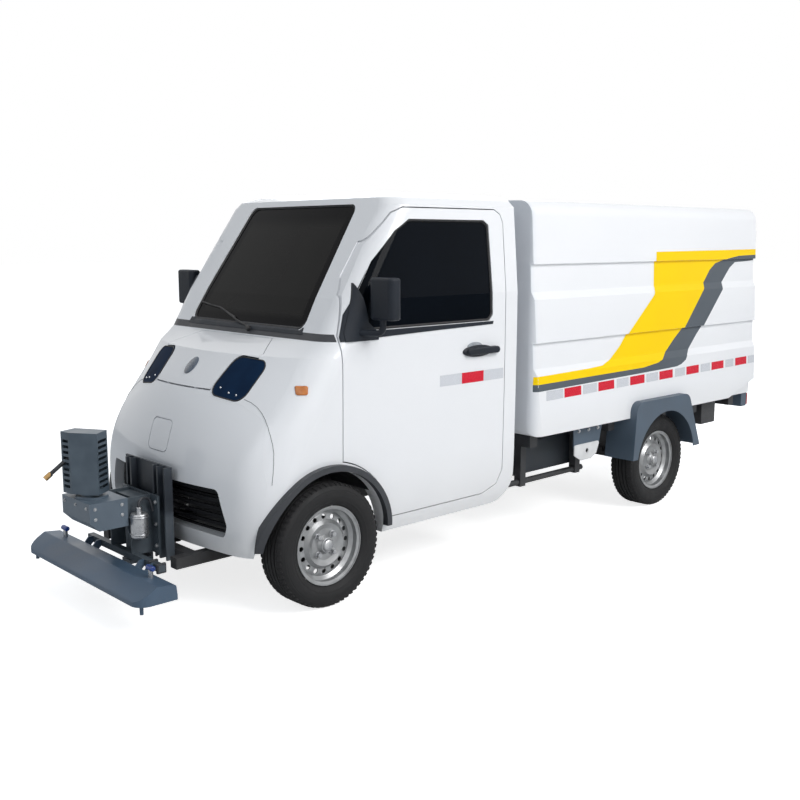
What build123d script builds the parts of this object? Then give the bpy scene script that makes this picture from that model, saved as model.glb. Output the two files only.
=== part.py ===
from build123d import *
import math
import os

os.makedirs("parts", exist_ok=True)

# Small electric washing truck, in millimetres. It stands on z = 0 and its front faces -Y.
# A name that ends in _aft is a distance behind the front axle. +X is the truck's left side.

# Overall sizes
overall_length = 4615.0
front_reach = 925.0
wheelbase = 2560.0
front_y = -overall_length / 2 + front_reach
rear_y = front_y + wheelbase
overrun = 200.0
panel_gap = 5.0
seat_gap = 0.3

# Tyres and wheels
tyre_radius = 280.5
tyre_width = 165.0
tyre_face_x = 735.0
wheel_x = tyre_face_x - tyre_width / 2
rim_radius = 178.5
rim_width = 130.0
rim_wall = 4.0
rim_flange = 8.0
rim_seat_radius = 166.0
rim_well_radius = 150.0
rim_well_width = 36.0
rim_slope = 14.0
rim_disc_thickness = 5.0
axle_z = tyre_radius
stud_circle = 114.3
stud_count = 4
stud_hole_radius = 7.0
vent_count = 16
vent_radius = 11.0
vent_circle = 250.0
hub_radius = 32.0
hub_depth = 44.0
hub_inset = 18.0
spindle_radius = 15.0
spindle_clearance = 0.05

# Cab
cab_top_z = 1834.0
cab_half_width = 704.0
cab_nose_aft = -440.0
cab_rear_aft = 1250.0
cab_wall = 45.0
trim_depth = 10.0
glass_thickness = 6.0
cab_floor_z = 470.0
cab_floor_thickness = 35.0
roof_seam_z = 1776.0
arch_radius = 335.0
arch_aft = 15.0
arch_z = 275.0
arch_inner_x = 385.0
arch_wall = 12.0
firewall_aft = -75.0
firewall_thickness = 20.0
firewall_top_z = 1100.0
notch_half_width = 528.0
cab_bottom_round = 150.0

# Load body
box_front_aft = 1356.0
box_rear_aft = 3667.0
box_bottom_z = 583.0
box_top_z = 1820.0
box_half_width = 755.0
box_lean = 0.046
box_relief = 16.0
box_wall = 40.0
box_floor = 45.0
box_round = 70.0
box_low_round = 30.0

# Chassis
rail_x = 330.0
rail_width = 60.0
rail_height = 100.0
rail_bottom_z = 345.0
rail_front_aft = -300.0
rail_rear_aft = 3600.0
kingpin_x = 600.0


def aft(distance):
    """Y of a place at a distance behind the front axle."""
    return front_y + distance


def spread(shares, low, high, bottom, top):
    """Outline points at shares of a width and of a height."""
    return [(low + (high - low) * across, bottom + (top - bottom) * up) for across, up in shares]


def both_sides(half):
    """The outline of a symmetric form from the points of its left half."""
    return half + [(-across, up) for across, up in half[::-1]]


def export(part, label):
    """Names a finished piece and writes it."""
    part.label = label
    export_step(part, "parts/" + label + ".step")


def prism(plane, outline, length, corner=0.0, grow=0.0):
    """An outline on a plane, with its corners rounded and its edge moved out, carried forward."""
    with BuildPart() as body:
        with BuildSketch(plane) as face:
            with BuildLine():
                Polyline(*outline, close=True)
            make_face()
            if corner > 0:
                fillet(face.vertices(), corner)
            if grow != 0:
                offset(amount=grow, kind=Kind.INTERSECTION)
        extrude(amount=length)
    return body.part


def side_prism(outline, x_low, x_high, corner=0.0, grow=0.0):
    """A side-view outline, in aft and height, carried across the truck."""
    points = [(aft(place), height) for place, height in outline]
    return prism(Plane.YZ.offset(x_low), points, x_high - x_low, corner, grow)


def front_prism(outline, aft_low, aft_high, corner=0.0, grow=0.0):
    """A front-view outline, in x and height, carried from the rear place to the front one."""
    return prism(Plane.XZ.offset(-aft(aft_high)), outline, aft_high - aft_low, corner, grow)


def plan_prism(outline, z_low, z_high, corner=0.0, grow=0.0):
    """A plan outline, in x and aft, carried upwards."""
    points = [(x, aft(place)) for x, place in outline]
    return prism(Plane.XY.offset(z_low), points, z_high - z_low, corner, grow)


def block(x_low, x_high, aft_low, aft_high, z_low, z_high, corner=0.0):
    """A plain block between two corners, its upright edges rounded."""
    outline = [(x_low, aft_low), (x_high, aft_low), (x_high, aft_high), (x_low, aft_high)]
    return plan_prism(outline, z_low, z_high, corner)


def bar_x(x_low, x_high, place, height, radius):
    """A round bar across the truck."""
    with BuildPart() as bar:
        with BuildSketch(Plane.YZ.offset(x_low)):
            with Locations((aft(place), height)):
                Circle(radius)
        extrude(amount=x_high - x_low)
    return bar.part


def bar_z(x, place, z_low, z_high, radius):
    """A round upright bar."""
    with BuildPart() as bar:
        with BuildSketch(Plane.XY.offset(z_low)):
            with Locations((x, aft(place))):
                Circle(radius)
        extrude(amount=z_high - z_low)
    return bar.part


def other_side(part):
    """The same piece on the truck's right side."""
    return mirror(part, about=Plane.YZ)


def join(*pieces):
    """Pieces joined into one part."""
    with BuildPart() as joined:
        for piece in pieces:
            add(piece)
    return joined.part


def cut(body, *tools):
    """A body with tools taken away."""
    with BuildPart() as left:
        add(body)
        for tool in tools:
            add(tool, mode=Mode.SUBTRACT)
    return left.part


def common(body, tool):
    """What a body and a tool share."""
    with BuildPart() as shared:
        add(body)
        add(tool, mode=Mode.INTERSECT)
    return shared.part


# The cab's outline as level sections. Columns: height as a share of the cab's top, half width as a
# share of the cab's, the front's place on the centre line as a share of the way from nose to rear,
# and how far the front corners stand back and their radius, both as shares of the half width
nose_shares = [
    (0.1429, 0.949, 0.0225, 0.107, 0.270),
    (0.2181, 0.986, 0.0036, 0.128, 0.291),
    (0.3272, 0.994, 0.0, 0.163, 0.305),
    (0.4253, 0.997, 0.0272, 0.227, 0.312),
    (0.5027, 0.999, 0.0692, 0.305, 0.291),
    (0.5638, 1.0, 0.1243, 0.284, 0.284),
    (0.5998, 1.0, 0.1598, 0.253, 0.277),
]
roof_shares = [
    (0.5998, 1.0, 0.1598, 0.253, 0.277),
    (0.6352, 1.0, 0.2781, 0.017, 0.192),
    (0.7361, 1.0, 0.3432, 0.017, 0.185),
    (0.9635, 0.950, 0.5089, 0.023, 0.156),
    (0.9820, 0.899, 0.5219, 0.023, 0.142),
    (0.9935, 0.795, 0.5503, 0.023, 0.128),
    (1.0, 0.625, 0.5947, 0.023, 0.114),
]


def cab_rows(table):
    """Rows of height, half width, front place, bow and corner in real sizes."""
    length = cab_rear_aft - cab_nose_aft
    return [(up * cab_top_z, half * cab_half_width, cab_nose_aft + front * length, bow * cab_half_width,
             corner * cab_half_width) for up, half, front, bow, corner in table]


cab_nose_rows = cab_rows(nose_shares)
cab_top_rows = cab_rows(roof_shares)
cab_bottom_z = cab_nose_rows[0][0]


def cab_section(height, half_width, front_aft, bow, corner, inset):
    """One level section of the cab, drawn in by the inset."""
    side_x = half_width - inset
    nose_y = aft(front_aft) + inset
    side_y = nose_y + bow
    back_y = aft(cab_rear_aft) - inset
    with BuildSketch(Plane.XY.offset(height)) as section:
        with BuildLine():
            Polyline((-side_x, side_y), (-side_x, back_y), (side_x, back_y), (side_x, side_y))
            ThreePointArc((side_x, side_y), (0, nose_y), (-side_x, side_y))
        make_face()
        fillet(section.vertices().group_by(Axis.Y)[0], corner - inset)
    return section.sketch


def cab_form(inset=0.0):
    """The whole closed cab, drawn in by the inset."""
    last = len(cab_top_rows) - 1
    with BuildPart() as form:
        for row in cab_nose_rows:
            lift = inset if row is cab_nose_rows[0] else 0.0
            add(cab_section(row[0] + lift, *row[1:], inset))
        loft()
        for index, row in enumerate(cab_top_rows):
            add(cab_section(row[0] - inset * index / last, *row[1:], inset))
        loft(ruled=True)
    return form.part


# Cab forms: the skin, the depth of trims, of the flap's pocket and of the glass, the inside of the
# wall, and the room that the doors need
skin = cab_form()
trim_form = cab_form(trim_depth)
pocket_form = cab_form(trim_depth + seat_gap)
glass_form = cab_form(trim_depth + glass_thickness)
inner_form = cab_form(cab_wall)
sill_form = cab_form(cab_wall + panel_gap)
skin_wall = cut(skin, inner_form)
trim_skin = cut(skin, trim_form)
glass_skin = cut(trim_form, glass_form)

# Doors and their windows in side view. Shares run from front to rear and from bottom to top
door_front_aft = 97.0
door_rear_aft = 1158.0
door_arch_gap = 40.0
door_bottom_z = 335.0
door_top_z = 1752.0
door_inner_x = 545.0
door_shares = [(0.0, 0.605), (0.064, 0.727), (0.203, 0.884), (0.323, 0.983), (0.370, 1.0), (0.945, 1.0),
               (0.983, 0.984), (1.0, 0.956), (1.0, 0.074), (0.964, 0.025), (0.870, 0.0)]
door_line = spread(door_shares, door_front_aft, door_rear_aft, door_bottom_z, door_top_z)
window_front_aft = 128.0
window_rear_aft = 1066.0
window_low_z = 1212.0
window_top_z = 1702.0
window_shares = [(0.0, 0.0), (0.071, 0.292), (0.183, 0.616), (0.322, 0.894), (0.413, 1.0), (0.951, 1.0),
                 (0.987, 0.955), (1.0, 0.057), (0.972, 0.0)]
window_line = spread(window_shares, window_front_aft, window_rear_aft, window_low_z, window_top_z)


def arch_cylinder(radius, x_low, x_high):
    """The round room of the left front wheel."""
    return bar_x(x_low, x_high, arch_aft, arch_z, radius)


def door_prism(grow):
    """The door's outline, drawn out by a gap, through the left wall of the cab."""
    reach = arch_radius + door_arch_gap
    low_aft = arch_aft + math.sqrt(reach ** 2 - (arch_z - door_bottom_z) ** 2)
    high_z = arch_z + math.sqrt(reach ** 2 - (door_front_aft - arch_aft) ** 2)
    turn = math.radians(45)
    mid = (aft(arch_aft + reach * math.sin(turn)), arch_z + reach * math.cos(turn))
    with BuildPart() as body:
        with BuildSketch(Plane.YZ.offset(door_inner_x)):
            with BuildLine():
                Polyline((aft(door_front_aft), high_z), *[(aft(place), height) for place, height in door_line],
                         (aft(low_aft), door_bottom_z))
                ThreePointArc((aft(low_aft), door_bottom_z), mid, (aft(door_front_aft), high_z))
            make_face()
            if grow > 0:
                offset(amount=grow, kind=Kind.INTERSECTION)
        extrude(amount=overrun)
    return body.part


door_blank = door_prism(0)
door_hole = cut(door_prism(panel_gap), sill_form)
window_hole = side_prism(window_line, door_inner_x, door_inner_x + overrun)

# Windscreen, front lid, lamps, front panel, flap and mouth. Tables of a left half give the share of
# the half width and of the height or length
nose_front_aft = -600.0
screen_low_z = 1206.0
screen_top_z = 1772.0
screen_low_half = 470.0
screen_top_half = 422.0
screen_front_aft = -450.0
screen_rear_aft = 650.0
screen_corner = 45.0
screen_hole = front_prism([(-screen_low_half, screen_low_z), (screen_low_half, screen_low_z),
                           (screen_top_half, screen_top_z), (-screen_top_half, screen_top_z)],
                          screen_front_aft, screen_rear_aft, corner=screen_corner)
cowl_low_z = 1168.0
cowl_high_z = 1200.0
cowl_side_aft = 88.0
lid_front_aft = -330.0
lid_rear_aft = 22.0
lid_half = 385.0
lid_low_z = 952.0
lid_high_z = 1170.0
lid_shares = [(0.566, 0.0), (0.649, 0.369), (1.0, 0.369), (1.0, 0.653), (0.740, 1.0)]
lid_line = both_sides(spread(lid_shares, 0, lid_half, lid_front_aft, lid_rear_aft))
lamp_inner_x = 233.0
lamp_outer_x = 458.0
lamp_low_z = 908.0
lamp_high_z = 1096.0
lamp_corner = 45.0
lamp_shares = [(0.129, 1.0), (1.0, 0.931), (0.902, 0.0), (0.0, 0.128)]
lamp_line = spread(lamp_shares, lamp_inner_x, lamp_outer_x, lamp_low_z, lamp_high_z)
fascia_half = 672.0
fascia_low_z = 250.0
fascia_top_z = 946.0
fascia_rear_aft = -150.0
fascia_shares = [(1.0, 0.0), (0.985, 0.503), (0.893, 0.848), (0.655, 0.937), (0.335, 0.971), (0.318, 1.0)]
fascia_line = both_sides(spread(fascia_shares, 0, fascia_half, fascia_low_z, fascia_top_z))
mouth_half = 500.0
mouth_low_z = 342.0
mouth_top_z = 552.0
mouth_corner = 30.0
mouth_shares = [(0.956, 0.0), (1.0, 0.276), (0.904, 1.0)]
mouth_line = both_sides(spread(mouth_shares, 0, mouth_half, mouth_low_z, mouth_top_z))
flap_half_width = 80.0
flap_low_z = 664.0
flap_high_z = 800.0
flap_corner = 25.0
flap_line = both_sides([(flap_half_width, flap_low_z), (flap_half_width, flap_high_z)])

lid_blank = plan_prism(lid_line, lid_low_z, lid_high_z - panel_gap)
lid_hole = plan_prism(lid_line, fascia_top_z, lid_high_z, grow=panel_gap)
lamp_blank = front_prism(lamp_line, nose_front_aft, 0, corner=lamp_corner)
lamp_hole = front_prism(lamp_line, nose_front_aft, 0, corner=lamp_corner, grow=seat_gap)
lamp_clear = front_prism(lamp_line, nose_front_aft, 0, corner=lamp_corner, grow=panel_gap)
fascia_blank = front_prism(fascia_line, nose_front_aft, fascia_rear_aft)
fascia_hole = front_prism(fascia_line, nose_front_aft, fascia_rear_aft + seat_gap, grow=seat_gap)
flap_blank = front_prism(flap_line, nose_front_aft, fascia_rear_aft, corner=flap_corner)
flap_hole = front_prism(flap_line, nose_front_aft, fascia_rear_aft, corner=flap_corner, grow=panel_gap)
mouth_hole = front_prism(mouth_line, nose_front_aft, fascia_rear_aft, corner=mouth_corner)
arch_room = arch_cylinder(arch_radius, arch_inner_x, tyre_face_x + overrun)
arch_cover = arch_cylinder(arch_radius + arch_wall, arch_inner_x - arch_wall, tyre_face_x + overrun)
cowl_band = block(-tyre_face_x, tyre_face_x, nose_front_aft, cowl_side_aft, cowl_low_z, cowl_high_z)

# Cab body in its real panels: roof, floor with the wheel housings, bulkhead, and the shell of
# walls and pillars, open below the floor for the frame
floor_top_z = cab_floor_z + cab_floor_thickness
inside = common(inner_form, block(-tyre_face_x, tyre_face_x, nose_front_aft, cab_rear_aft, cab_floor_z, box_top_z))
room_block = block(-tyre_face_x, tyre_face_x, nose_front_aft, cab_rear_aft, floor_top_z, box_top_z)
firewall = block(-tyre_face_x, tyre_face_x, firewall_aft, firewall_aft + firewall_thickness, floor_top_z,
                 firewall_top_z)
upper_room = cut(common(inside, room_block), arch_cover, other_side(arch_cover), firewall)
bulkhead = cut(common(inside, firewall), arch_cover, other_side(arch_cover))
with BuildPart() as under_room:
    add(cab_section(0, *cab_nose_rows[0][1:], cab_wall))
    extrude(amount=cab_floor_z)
rear_notch = block(-notch_half_width, notch_half_width, cab_rear_aft - overrun, cab_rear_aft + overrun, 0, cab_floor_z)
with BuildPart() as sill_round:
    with BuildSketch(Plane.YZ.offset(-tyre_face_x)):
        with Locations((aft(cab_rear_aft) - cab_bottom_round / 2, cab_bottom_z + cab_bottom_round / 2)):
            Rectangle(cab_bottom_round, cab_bottom_round)
        with Locations((aft(cab_rear_aft) - cab_bottom_round, cab_bottom_z + cab_bottom_round)):
            Circle(cab_bottom_round, mode=Mode.SUBTRACT)
    extrude(amount=2 * tyre_face_x)
above_seam = block(-tyre_face_x, tyre_face_x, nose_front_aft, cab_rear_aft + overrun, roof_seam_z, 2 * box_top_z)

# Latch striker on each rear door post, in a slot of the door
striker_x = 680.0
striker_thickness = 8.0
striker_z = 1000.0
striker_height = 20.0
striker_reach = 18.0
slot_depth = 20.0
post_aft = door_rear_aft + panel_gap
striker = block(striker_x - striker_thickness / 2, striker_x + striker_thickness / 2, door_rear_aft - striker_reach,
                post_aft, striker_z - striker_height / 2, striker_z + striker_height / 2)
striker_slot = block(door_inner_x, striker_x + striker_thickness / 2 + seat_gap, door_rear_aft - slot_depth,
                     post_aft, striker_z - striker_height / 2 - seat_gap, striker_z + striker_height / 2 + seat_gap)

cab_wall_form = cut(skin, inside, above_seam, under_room.part, rear_notch, sill_round.part,
                    arch_room, other_side(arch_room), door_hole, other_side(door_hole),
                    screen_hole, lid_hole, lamp_hole, other_side(lamp_hole), fascia_hole,
                    common(trim_skin, cowl_band))
export(join(cab_wall_form, striker, other_side(striker)), "cab_shell")
export(cut(common(skin, above_seam), inside), "cab_roof")
export(bulkhead, "cab_bulkhead")

# Front panel with its mouth, the flap's shallow pocket, and two rubber buffers under the lid
buffer_x = 120.0
buffer_size = 20.0
buffer_aft = -277.0
buffer = block(buffer_x - buffer_size / 2, buffer_x + buffer_size / 2, buffer_aft - buffer_size / 2,
               buffer_aft + buffer_size / 2, fascia_top_z - buffer_size / 2, lid_low_z - seat_gap)
fascia = cut(common(skin_wall, fascia_blank), under_room.part, arch_room, other_side(arch_room), mouth_hole,
             lid_hole, lamp_hole, other_side(lamp_hole), common(cut(skin, pocket_form), flap_hole))
export(join(fascia, buffer, other_side(buffer)), "fascia")
export(common(trim_skin, flap_blank), "charge_flap")

# Slatted grille behind the mouth, lying on the inside of the front panel
grille_margin = 18.0
grille_depth = 12.0
grille_rib = 20.0
slat_count = 6
slat_pitch = 36.0
slat_slot = 20.0
grille_slot_half = 430.0
with BuildPart() as grille:
    add(inner_form)
    add(front_prism(mouth_line, nose_front_aft, fascia_rear_aft, grow=grille_margin), mode=Mode.INTERSECT)
    add(inner_form.moved(Location((0, grille_depth, 0))), mode=Mode.SUBTRACT)
    for index in range(slat_count):
        slot_z = mouth_low_z + slat_pitch * index + slat_slot / 2
        slot = block(grille_rib, grille_slot_half, nose_front_aft, fascia_rear_aft, slot_z, slot_z + slat_slot)
        add(slot, mode=Mode.SUBTRACT)
        add(other_side(slot), mode=Mode.SUBTRACT)
export(grille.part, "front_grille")
grille_seat = cut(front_prism(mouth_line, nose_front_aft, fascia_rear_aft, grow=grille_margin + seat_gap),
                  inner_form.moved(Location((0, grille_depth + seat_gap, 0))))
export(cut(inside, upper_room, bulkhead, arch_room, other_side(arch_room), door_hole, other_side(door_hole),
           grille_seat), "cab_floor")

# Front lid between the lamps, hinged at the cowl, and the lamps, each filling its opening
export(cut(common(skin_wall, lid_blank), lamp_clear, other_side(lamp_clear)), "front_lid")
lamp = common(skin_wall, lamp_blank)
export(join(lamp, other_side(lamp)), "headlamps")

# Cowl strip and wheel arch flares: black moulded trim on the cab
flare_width = 27.0
flare_proud = 30.0
flare_low_z = 300.0
flare_depth = 95.0
flare_ring = cut(arch_cylinder(arch_radius + flare_width, tyre_face_x - flare_depth, tyre_face_x),
                 arch_cylinder(arch_radius, tyre_face_x - 2 * flare_depth, tyre_face_x + overrun),
                 block(0, tyre_face_x + overrun, nose_front_aft, arch_aft + 2 * arch_radius, 0, flare_low_z))
flare = common(cut(flare_ring, skin), cab_form(-flare_proud))
cowl_strip = cut(common(trim_skin, cowl_band), screen_hole)
export(join(cowl_strip, flare, other_side(flare)), "cab_trim")

# Windscreen set in its opening
export(common(glass_skin, screen_hole), "windscreen")

# Doors with their glass
door = cut(common(skin_wall, door_blank), window_hole, striker_slot)
export(door, "door_l")
export(other_side(door), "door_r")
door_glass = common(glass_skin, window_hole)
export(door_glass, "door_glass_l")
export(other_side(door_glass), "door_glass_r")

# Mirrors on their arms with the black corner panel under them, and the door handles
mirror_x = 800.0
mirror_aft = 258.0
mirror_z = 1354.0
mirror_width = 150.0
mirror_depth = 68.0
mirror_height = 184.0
mirror_round = 26.0
mirror_foot_x = 690.0
mirror_foot_z = 1205.0
mirror_arm_radius = 14.0
corner_panel_thickness = 6.0
corner_panel_front_aft = 118.0
corner_panel_rear_aft = 300.0
corner_panel_low_z = 1168.0
corner_panel_top_z = 1420.0
corner_panel_shares = [(0.0, 0.0), (1.0, 0.0), (1.0, 0.12), (0.68, 0.32), (0.50, 1.0), (0.0, 0.16)]
handle_front_aft = 868.0
handle_rear_aft = 1100.0
handle_z = 1068.0
handle_height = 34.0
handle_proud = 26.0
with BuildPart() as mirror_head:
    with BuildSketch(Plane.XY.offset(mirror_z - mirror_height / 2)):
        with Locations((mirror_x, aft(mirror_aft))):
            RectangleRounded(mirror_width, mirror_depth, mirror_round)
    extrude(amount=mirror_height)
    fillet(mirror_head.faces().sort_by(Axis.Z)[-1].edges(), mirror_round / 2)
    fillet(mirror_head.faces().sort_by(Axis.Z)[0].edges(), mirror_round / 2)
    with BuildSketch(Plane.XZ.offset(-aft(mirror_aft) - mirror_depth / 2)):
        with Locations((mirror_x, mirror_z)):
            RectangleRounded(mirror_width - mirror_round, mirror_height - mirror_round, mirror_round / 2)
    extrude(amount=mirror_arm_radius, mode=Mode.SUBTRACT)
with BuildPart() as mirror_arm:
    with BuildLine() as arm_line:
        FilletPolyline((mirror_foot_x, aft(mirror_aft - mirror_depth), mirror_foot_z),
                       (mirror_x, aft(mirror_aft - mirror_arm_radius), mirror_foot_z),
                       (mirror_x, aft(mirror_aft - mirror_arm_radius), mirror_z - mirror_height / 2 + mirror_round),
                       radius=mirror_round)
    with BuildSketch(Plane(arm_line.line @ 0, z_dir=arm_line.line % 0)):
        Circle(mirror_arm_radius)
    sweep()
corner_panel_line = spread(corner_panel_shares, corner_panel_front_aft, corner_panel_rear_aft,
                           corner_panel_low_z, corner_panel_top_z)
corner_panel = common(side_prism(corner_panel_line, door_inner_x, door_inner_x + overrun),
                      cut(cab_form(-corner_panel_thickness), skin))
with BuildPart() as handle:
    with BuildSketch(Plane.YZ.offset(cab_half_width)):
        with Locations((aft((handle_front_aft + handle_rear_aft) / 2), handle_z)):
            SlotOverall(handle_rear_aft - handle_front_aft, handle_height)
    extrude(amount=handle_proud)
    fillet(handle.faces().sort_by(Axis.X)[-1].edges(), handle_proud / 3)
fittings = cut(join(mirror_head.part, mirror_arm.part, corner_panel, handle.part), skin)
export(fittings, "door_fittings_l")
export(other_side(fittings), "door_fittings_r")

# Seats on their base
seat_x = 330.0
seat_half_width = 215.0
seat_front_aft = 640.0
seat_rear_aft = 1140.0
seat_base_z = 640.0
seat_top_z = 1330.0
seat_corner = 14.0
seat_base_inset = 40.0
seat_base_rear_aft = 1060.0
seat_shares = [(0.0, 0.0), (0.84, 0.0), (1.0, 0.884), (0.96, 1.0), (0.84, 1.0), (0.72, 0.217), (0.60, 0.174),
               (0.06, 0.174)]
seat = side_prism(spread(seat_shares, seat_front_aft, seat_rear_aft, seat_base_z, seat_top_z),
                  seat_x - seat_half_width, seat_x + seat_half_width, corner=seat_corner)
export(seat, "seat_l")
export(other_side(seat), "seat_r")
seat_base = block(-seat_x - seat_half_width, seat_x + seat_half_width, seat_front_aft + seat_base_inset,
                  seat_base_rear_aft, floor_top_z, seat_base_z)
export(seat_base, "seat_base")

# Dashboard on the bulkhead, and the steering wheel with its column
dash_front_aft = firewall_aft + firewall_thickness
dash_rear_aft = 215.0
dash_low_z = 700.0
dash_top_z = 1095.0
dash_corner = 12.0
dash_side_x = 560.0
dash_shares = [(0.0, 0.0), (0.685, 0.152), (1.0, 0.506), (0.907, 0.861), (0.426, 1.0), (0.0, 0.949)]
dash_line = spread(dash_shares, dash_front_aft, dash_rear_aft, dash_low_z, dash_top_z)
dashboard = common(side_prism(dash_line, -dash_side_x, dash_side_x, corner=dash_corner), upper_room)
export(dashboard, "dashboard")
wheel_aft = 360.0
wheel_z = 1080.0
wheel_rim_radius = 185.0
wheel_grip_radius = 14.0
wheel_tilt = 55.0
wheel_spokes = 3
column_radius = 24.0
column_length = 210.0
wheel_plane = Plane(origin=(seat_x, aft(wheel_aft), wheel_z), x_dir=(1, 0, 0),
                    z_dir=(0, math.sin(math.radians(wheel_tilt)), math.cos(math.radians(wheel_tilt))))
with BuildPart() as steering_wheel:
    with BuildSketch(Plane(origin=wheel_plane.origin, x_dir=wheel_plane.x_dir, z_dir=-wheel_plane.y_dir)):
        with Locations((wheel_rim_radius, 0)):
            Circle(wheel_grip_radius)
    revolve(axis=Axis(wheel_plane.origin, wheel_plane.z_dir))
    with BuildSketch(wheel_plane.offset(-column_length)):
        Circle(column_radius)
    extrude(amount=column_length)
    with BuildSketch(wheel_plane.offset(-wheel_grip_radius / 2)):
        with PolarLocations(wheel_rim_radius / 2, wheel_spokes, start_angle=-90):
            Rectangle(wheel_rim_radius, 2 * wheel_grip_radius)
    extrude(amount=wheel_grip_radius)
export(cut(steering_wheel.part, dashboard), "steering_wheel")

# Load body: a pressed shell with raised bands along its sides, open at the rear. Each band is given
# by its lower and upper height
band_low_top_z = 900.0
band_mid_low_z = 1075.0
band_mid_top_z = 1300.0
band_high_low_z = 1483.0
band_high_top_z = 1745.0
band_rows = [(box_bottom_z, band_low_top_z), (band_mid_low_z, band_mid_top_z), (band_high_low_z, band_high_top_z)]
band_bevel = 40.0
box_shoulder = 80.0
box_crown = 14.0


def box_half(height):
    """Half width of the body's side at a height, on the raised bands."""
    return box_half_width - box_lean * (height - box_bottom_z)


box_side = []
for index, (low, high) in enumerate(band_rows):
    box_side.append((box_half(low), low))
    if index < len(band_rows) - 1:
        next_low = band_rows[index + 1][0]
        box_side.append((box_half(high), high))
        box_side.append((box_half(high + band_bevel) - box_relief, high + band_bevel))
        box_side.append((box_half(next_low) - box_relief, next_low))
top_x = box_half(box_top_z)
with BuildPart() as box_outer:
    with BuildSketch(Plane.XZ.offset(-aft(box_rear_aft))) as box_face:
        with BuildLine():
            Polyline((0, box_bottom_z), *box_side, (top_x, box_top_z - box_crown), (0, box_top_z), close=True)
        make_face()
        fillet(box_face.vertices().sort_by_distance((top_x, box_top_z - box_crown))[0], box_shoulder)
        mirror(about=Plane.YZ)
    extrude(amount=box_rear_aft - box_front_aft)
    add(block(-box_half_width, box_half_width, box_front_aft, box_rear_aft + overrun, 0, 2 * box_top_z,
              corner=box_round), mode=Mode.INTERSECT)
    add(side_prism([(box_front_aft, box_bottom_z), (box_rear_aft + overrun, box_bottom_z),
                    (box_rear_aft + overrun, 2 * box_top_z), (box_front_aft, 2 * box_top_z)],
                   -box_half_width - overrun, box_half_width + overrun, corner=box_low_round), mode=Mode.INTERSECT)


def box_inside(shrink, aft_low, aft_high):
    """The load space between two places, drawn in by a gap."""
    half_low = box_half_width - box_relief - box_wall - shrink
    low_z = box_bottom_z + box_floor + shrink
    high_z = box_top_z - box_crown - box_wall - shrink
    half_high = half_low - box_lean * (high_z - low_z)
    return front_prism(both_sides([(half_low, low_z), (half_high, high_z)]), aft_low, aft_high)


skirt_inner_x = 712.0
skirt_front_aft = 3332.0
skirt_bend_z = 683.0
skirt_end_z = 715.0
skirt_cut = side_prism([(skirt_front_aft, box_bottom_z), (skirt_front_aft, box_bottom_z - overrun),
                        (box_rear_aft + overrun, box_bottom_z - overrun), (box_rear_aft + overrun, skirt_end_z),
                        (box_rear_aft, skirt_bend_z)], skirt_inner_x, skirt_inner_x + overrun)

# Hinges of the load body's rear doors: knuckles and pin on the body, barrel and strap on the door
hinge_x = 700.0
hinge_reach = 6.0
hinge_radius = 5.5
hinge_pin_radius = 3.0
hinge_barrel_half = 15.0
hinge_half = 45.0
hinge_foot_half = 4.5
hinge_strap = 60.0
hinge_strap_thickness = 4.0
hinge_bite = 1.0
hinge_low_z = 760.0
hinge_top_z = 1620.0
hinge_count = 3
hinge_aft = box_rear_aft + hinge_reach
hinge_rows = [hinge_low_z + (hinge_top_z - hinge_low_z) * index / (hinge_count - 1) for index in range(hinge_count)]
body_hinges = []
door_hinges = []
for hinge_z in hinge_rows:
    door_edge = box_half(hinge_z - box_floor) - box_relief - box_wall - panel_gap
    strap_top_aft = box_rear_aft + seat_gap + hinge_strap_thickness
    for low, high in ((-hinge_half, -hinge_barrel_half - seat_gap), (hinge_barrel_half + seat_gap, hinge_half)):
        body_hinges.append(bar_z(hinge_x, hinge_aft, hinge_z + low, hinge_z + high, hinge_radius))
        body_hinges.append(block(hinge_x - hinge_foot_half, hinge_x + hinge_foot_half, box_rear_aft - hinge_bite,
                                 hinge_aft, hinge_z + low, hinge_z + high))
    body_hinges.append(bar_z(hinge_x, hinge_aft, hinge_z - hinge_half, hinge_z + hinge_half, hinge_pin_radius))
    strap = join(bar_z(hinge_x, hinge_aft, hinge_z - hinge_barrel_half, hinge_z + hinge_barrel_half, hinge_radius),
                 block(door_edge - hinge_strap, hinge_x, box_rear_aft + seat_gap, strap_top_aft,
                       hinge_z - hinge_barrel_half, hinge_z + hinge_barrel_half),
                 block(door_edge - hinge_strap, door_edge - panel_gap, box_rear_aft - hinge_bite, strap_top_aft,
                       hinge_z - hinge_barrel_half, hinge_z + hinge_barrel_half))
    door_hinges.append(cut(strap, bar_z(hinge_x, hinge_aft, hinge_z - hinge_half, hinge_z + hinge_half,
                                        hinge_pin_radius + spindle_clearance)))
body_hinges_right = [other_side(piece) for piece in body_hinges]
box_shell = cut(box_outer.part, box_inside(0, box_front_aft + box_wall, box_rear_aft + overrun),
                skirt_cut, other_side(skirt_cut))
export(join(box_shell, *body_hinges, *body_hinges_right), "box_shell")

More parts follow.
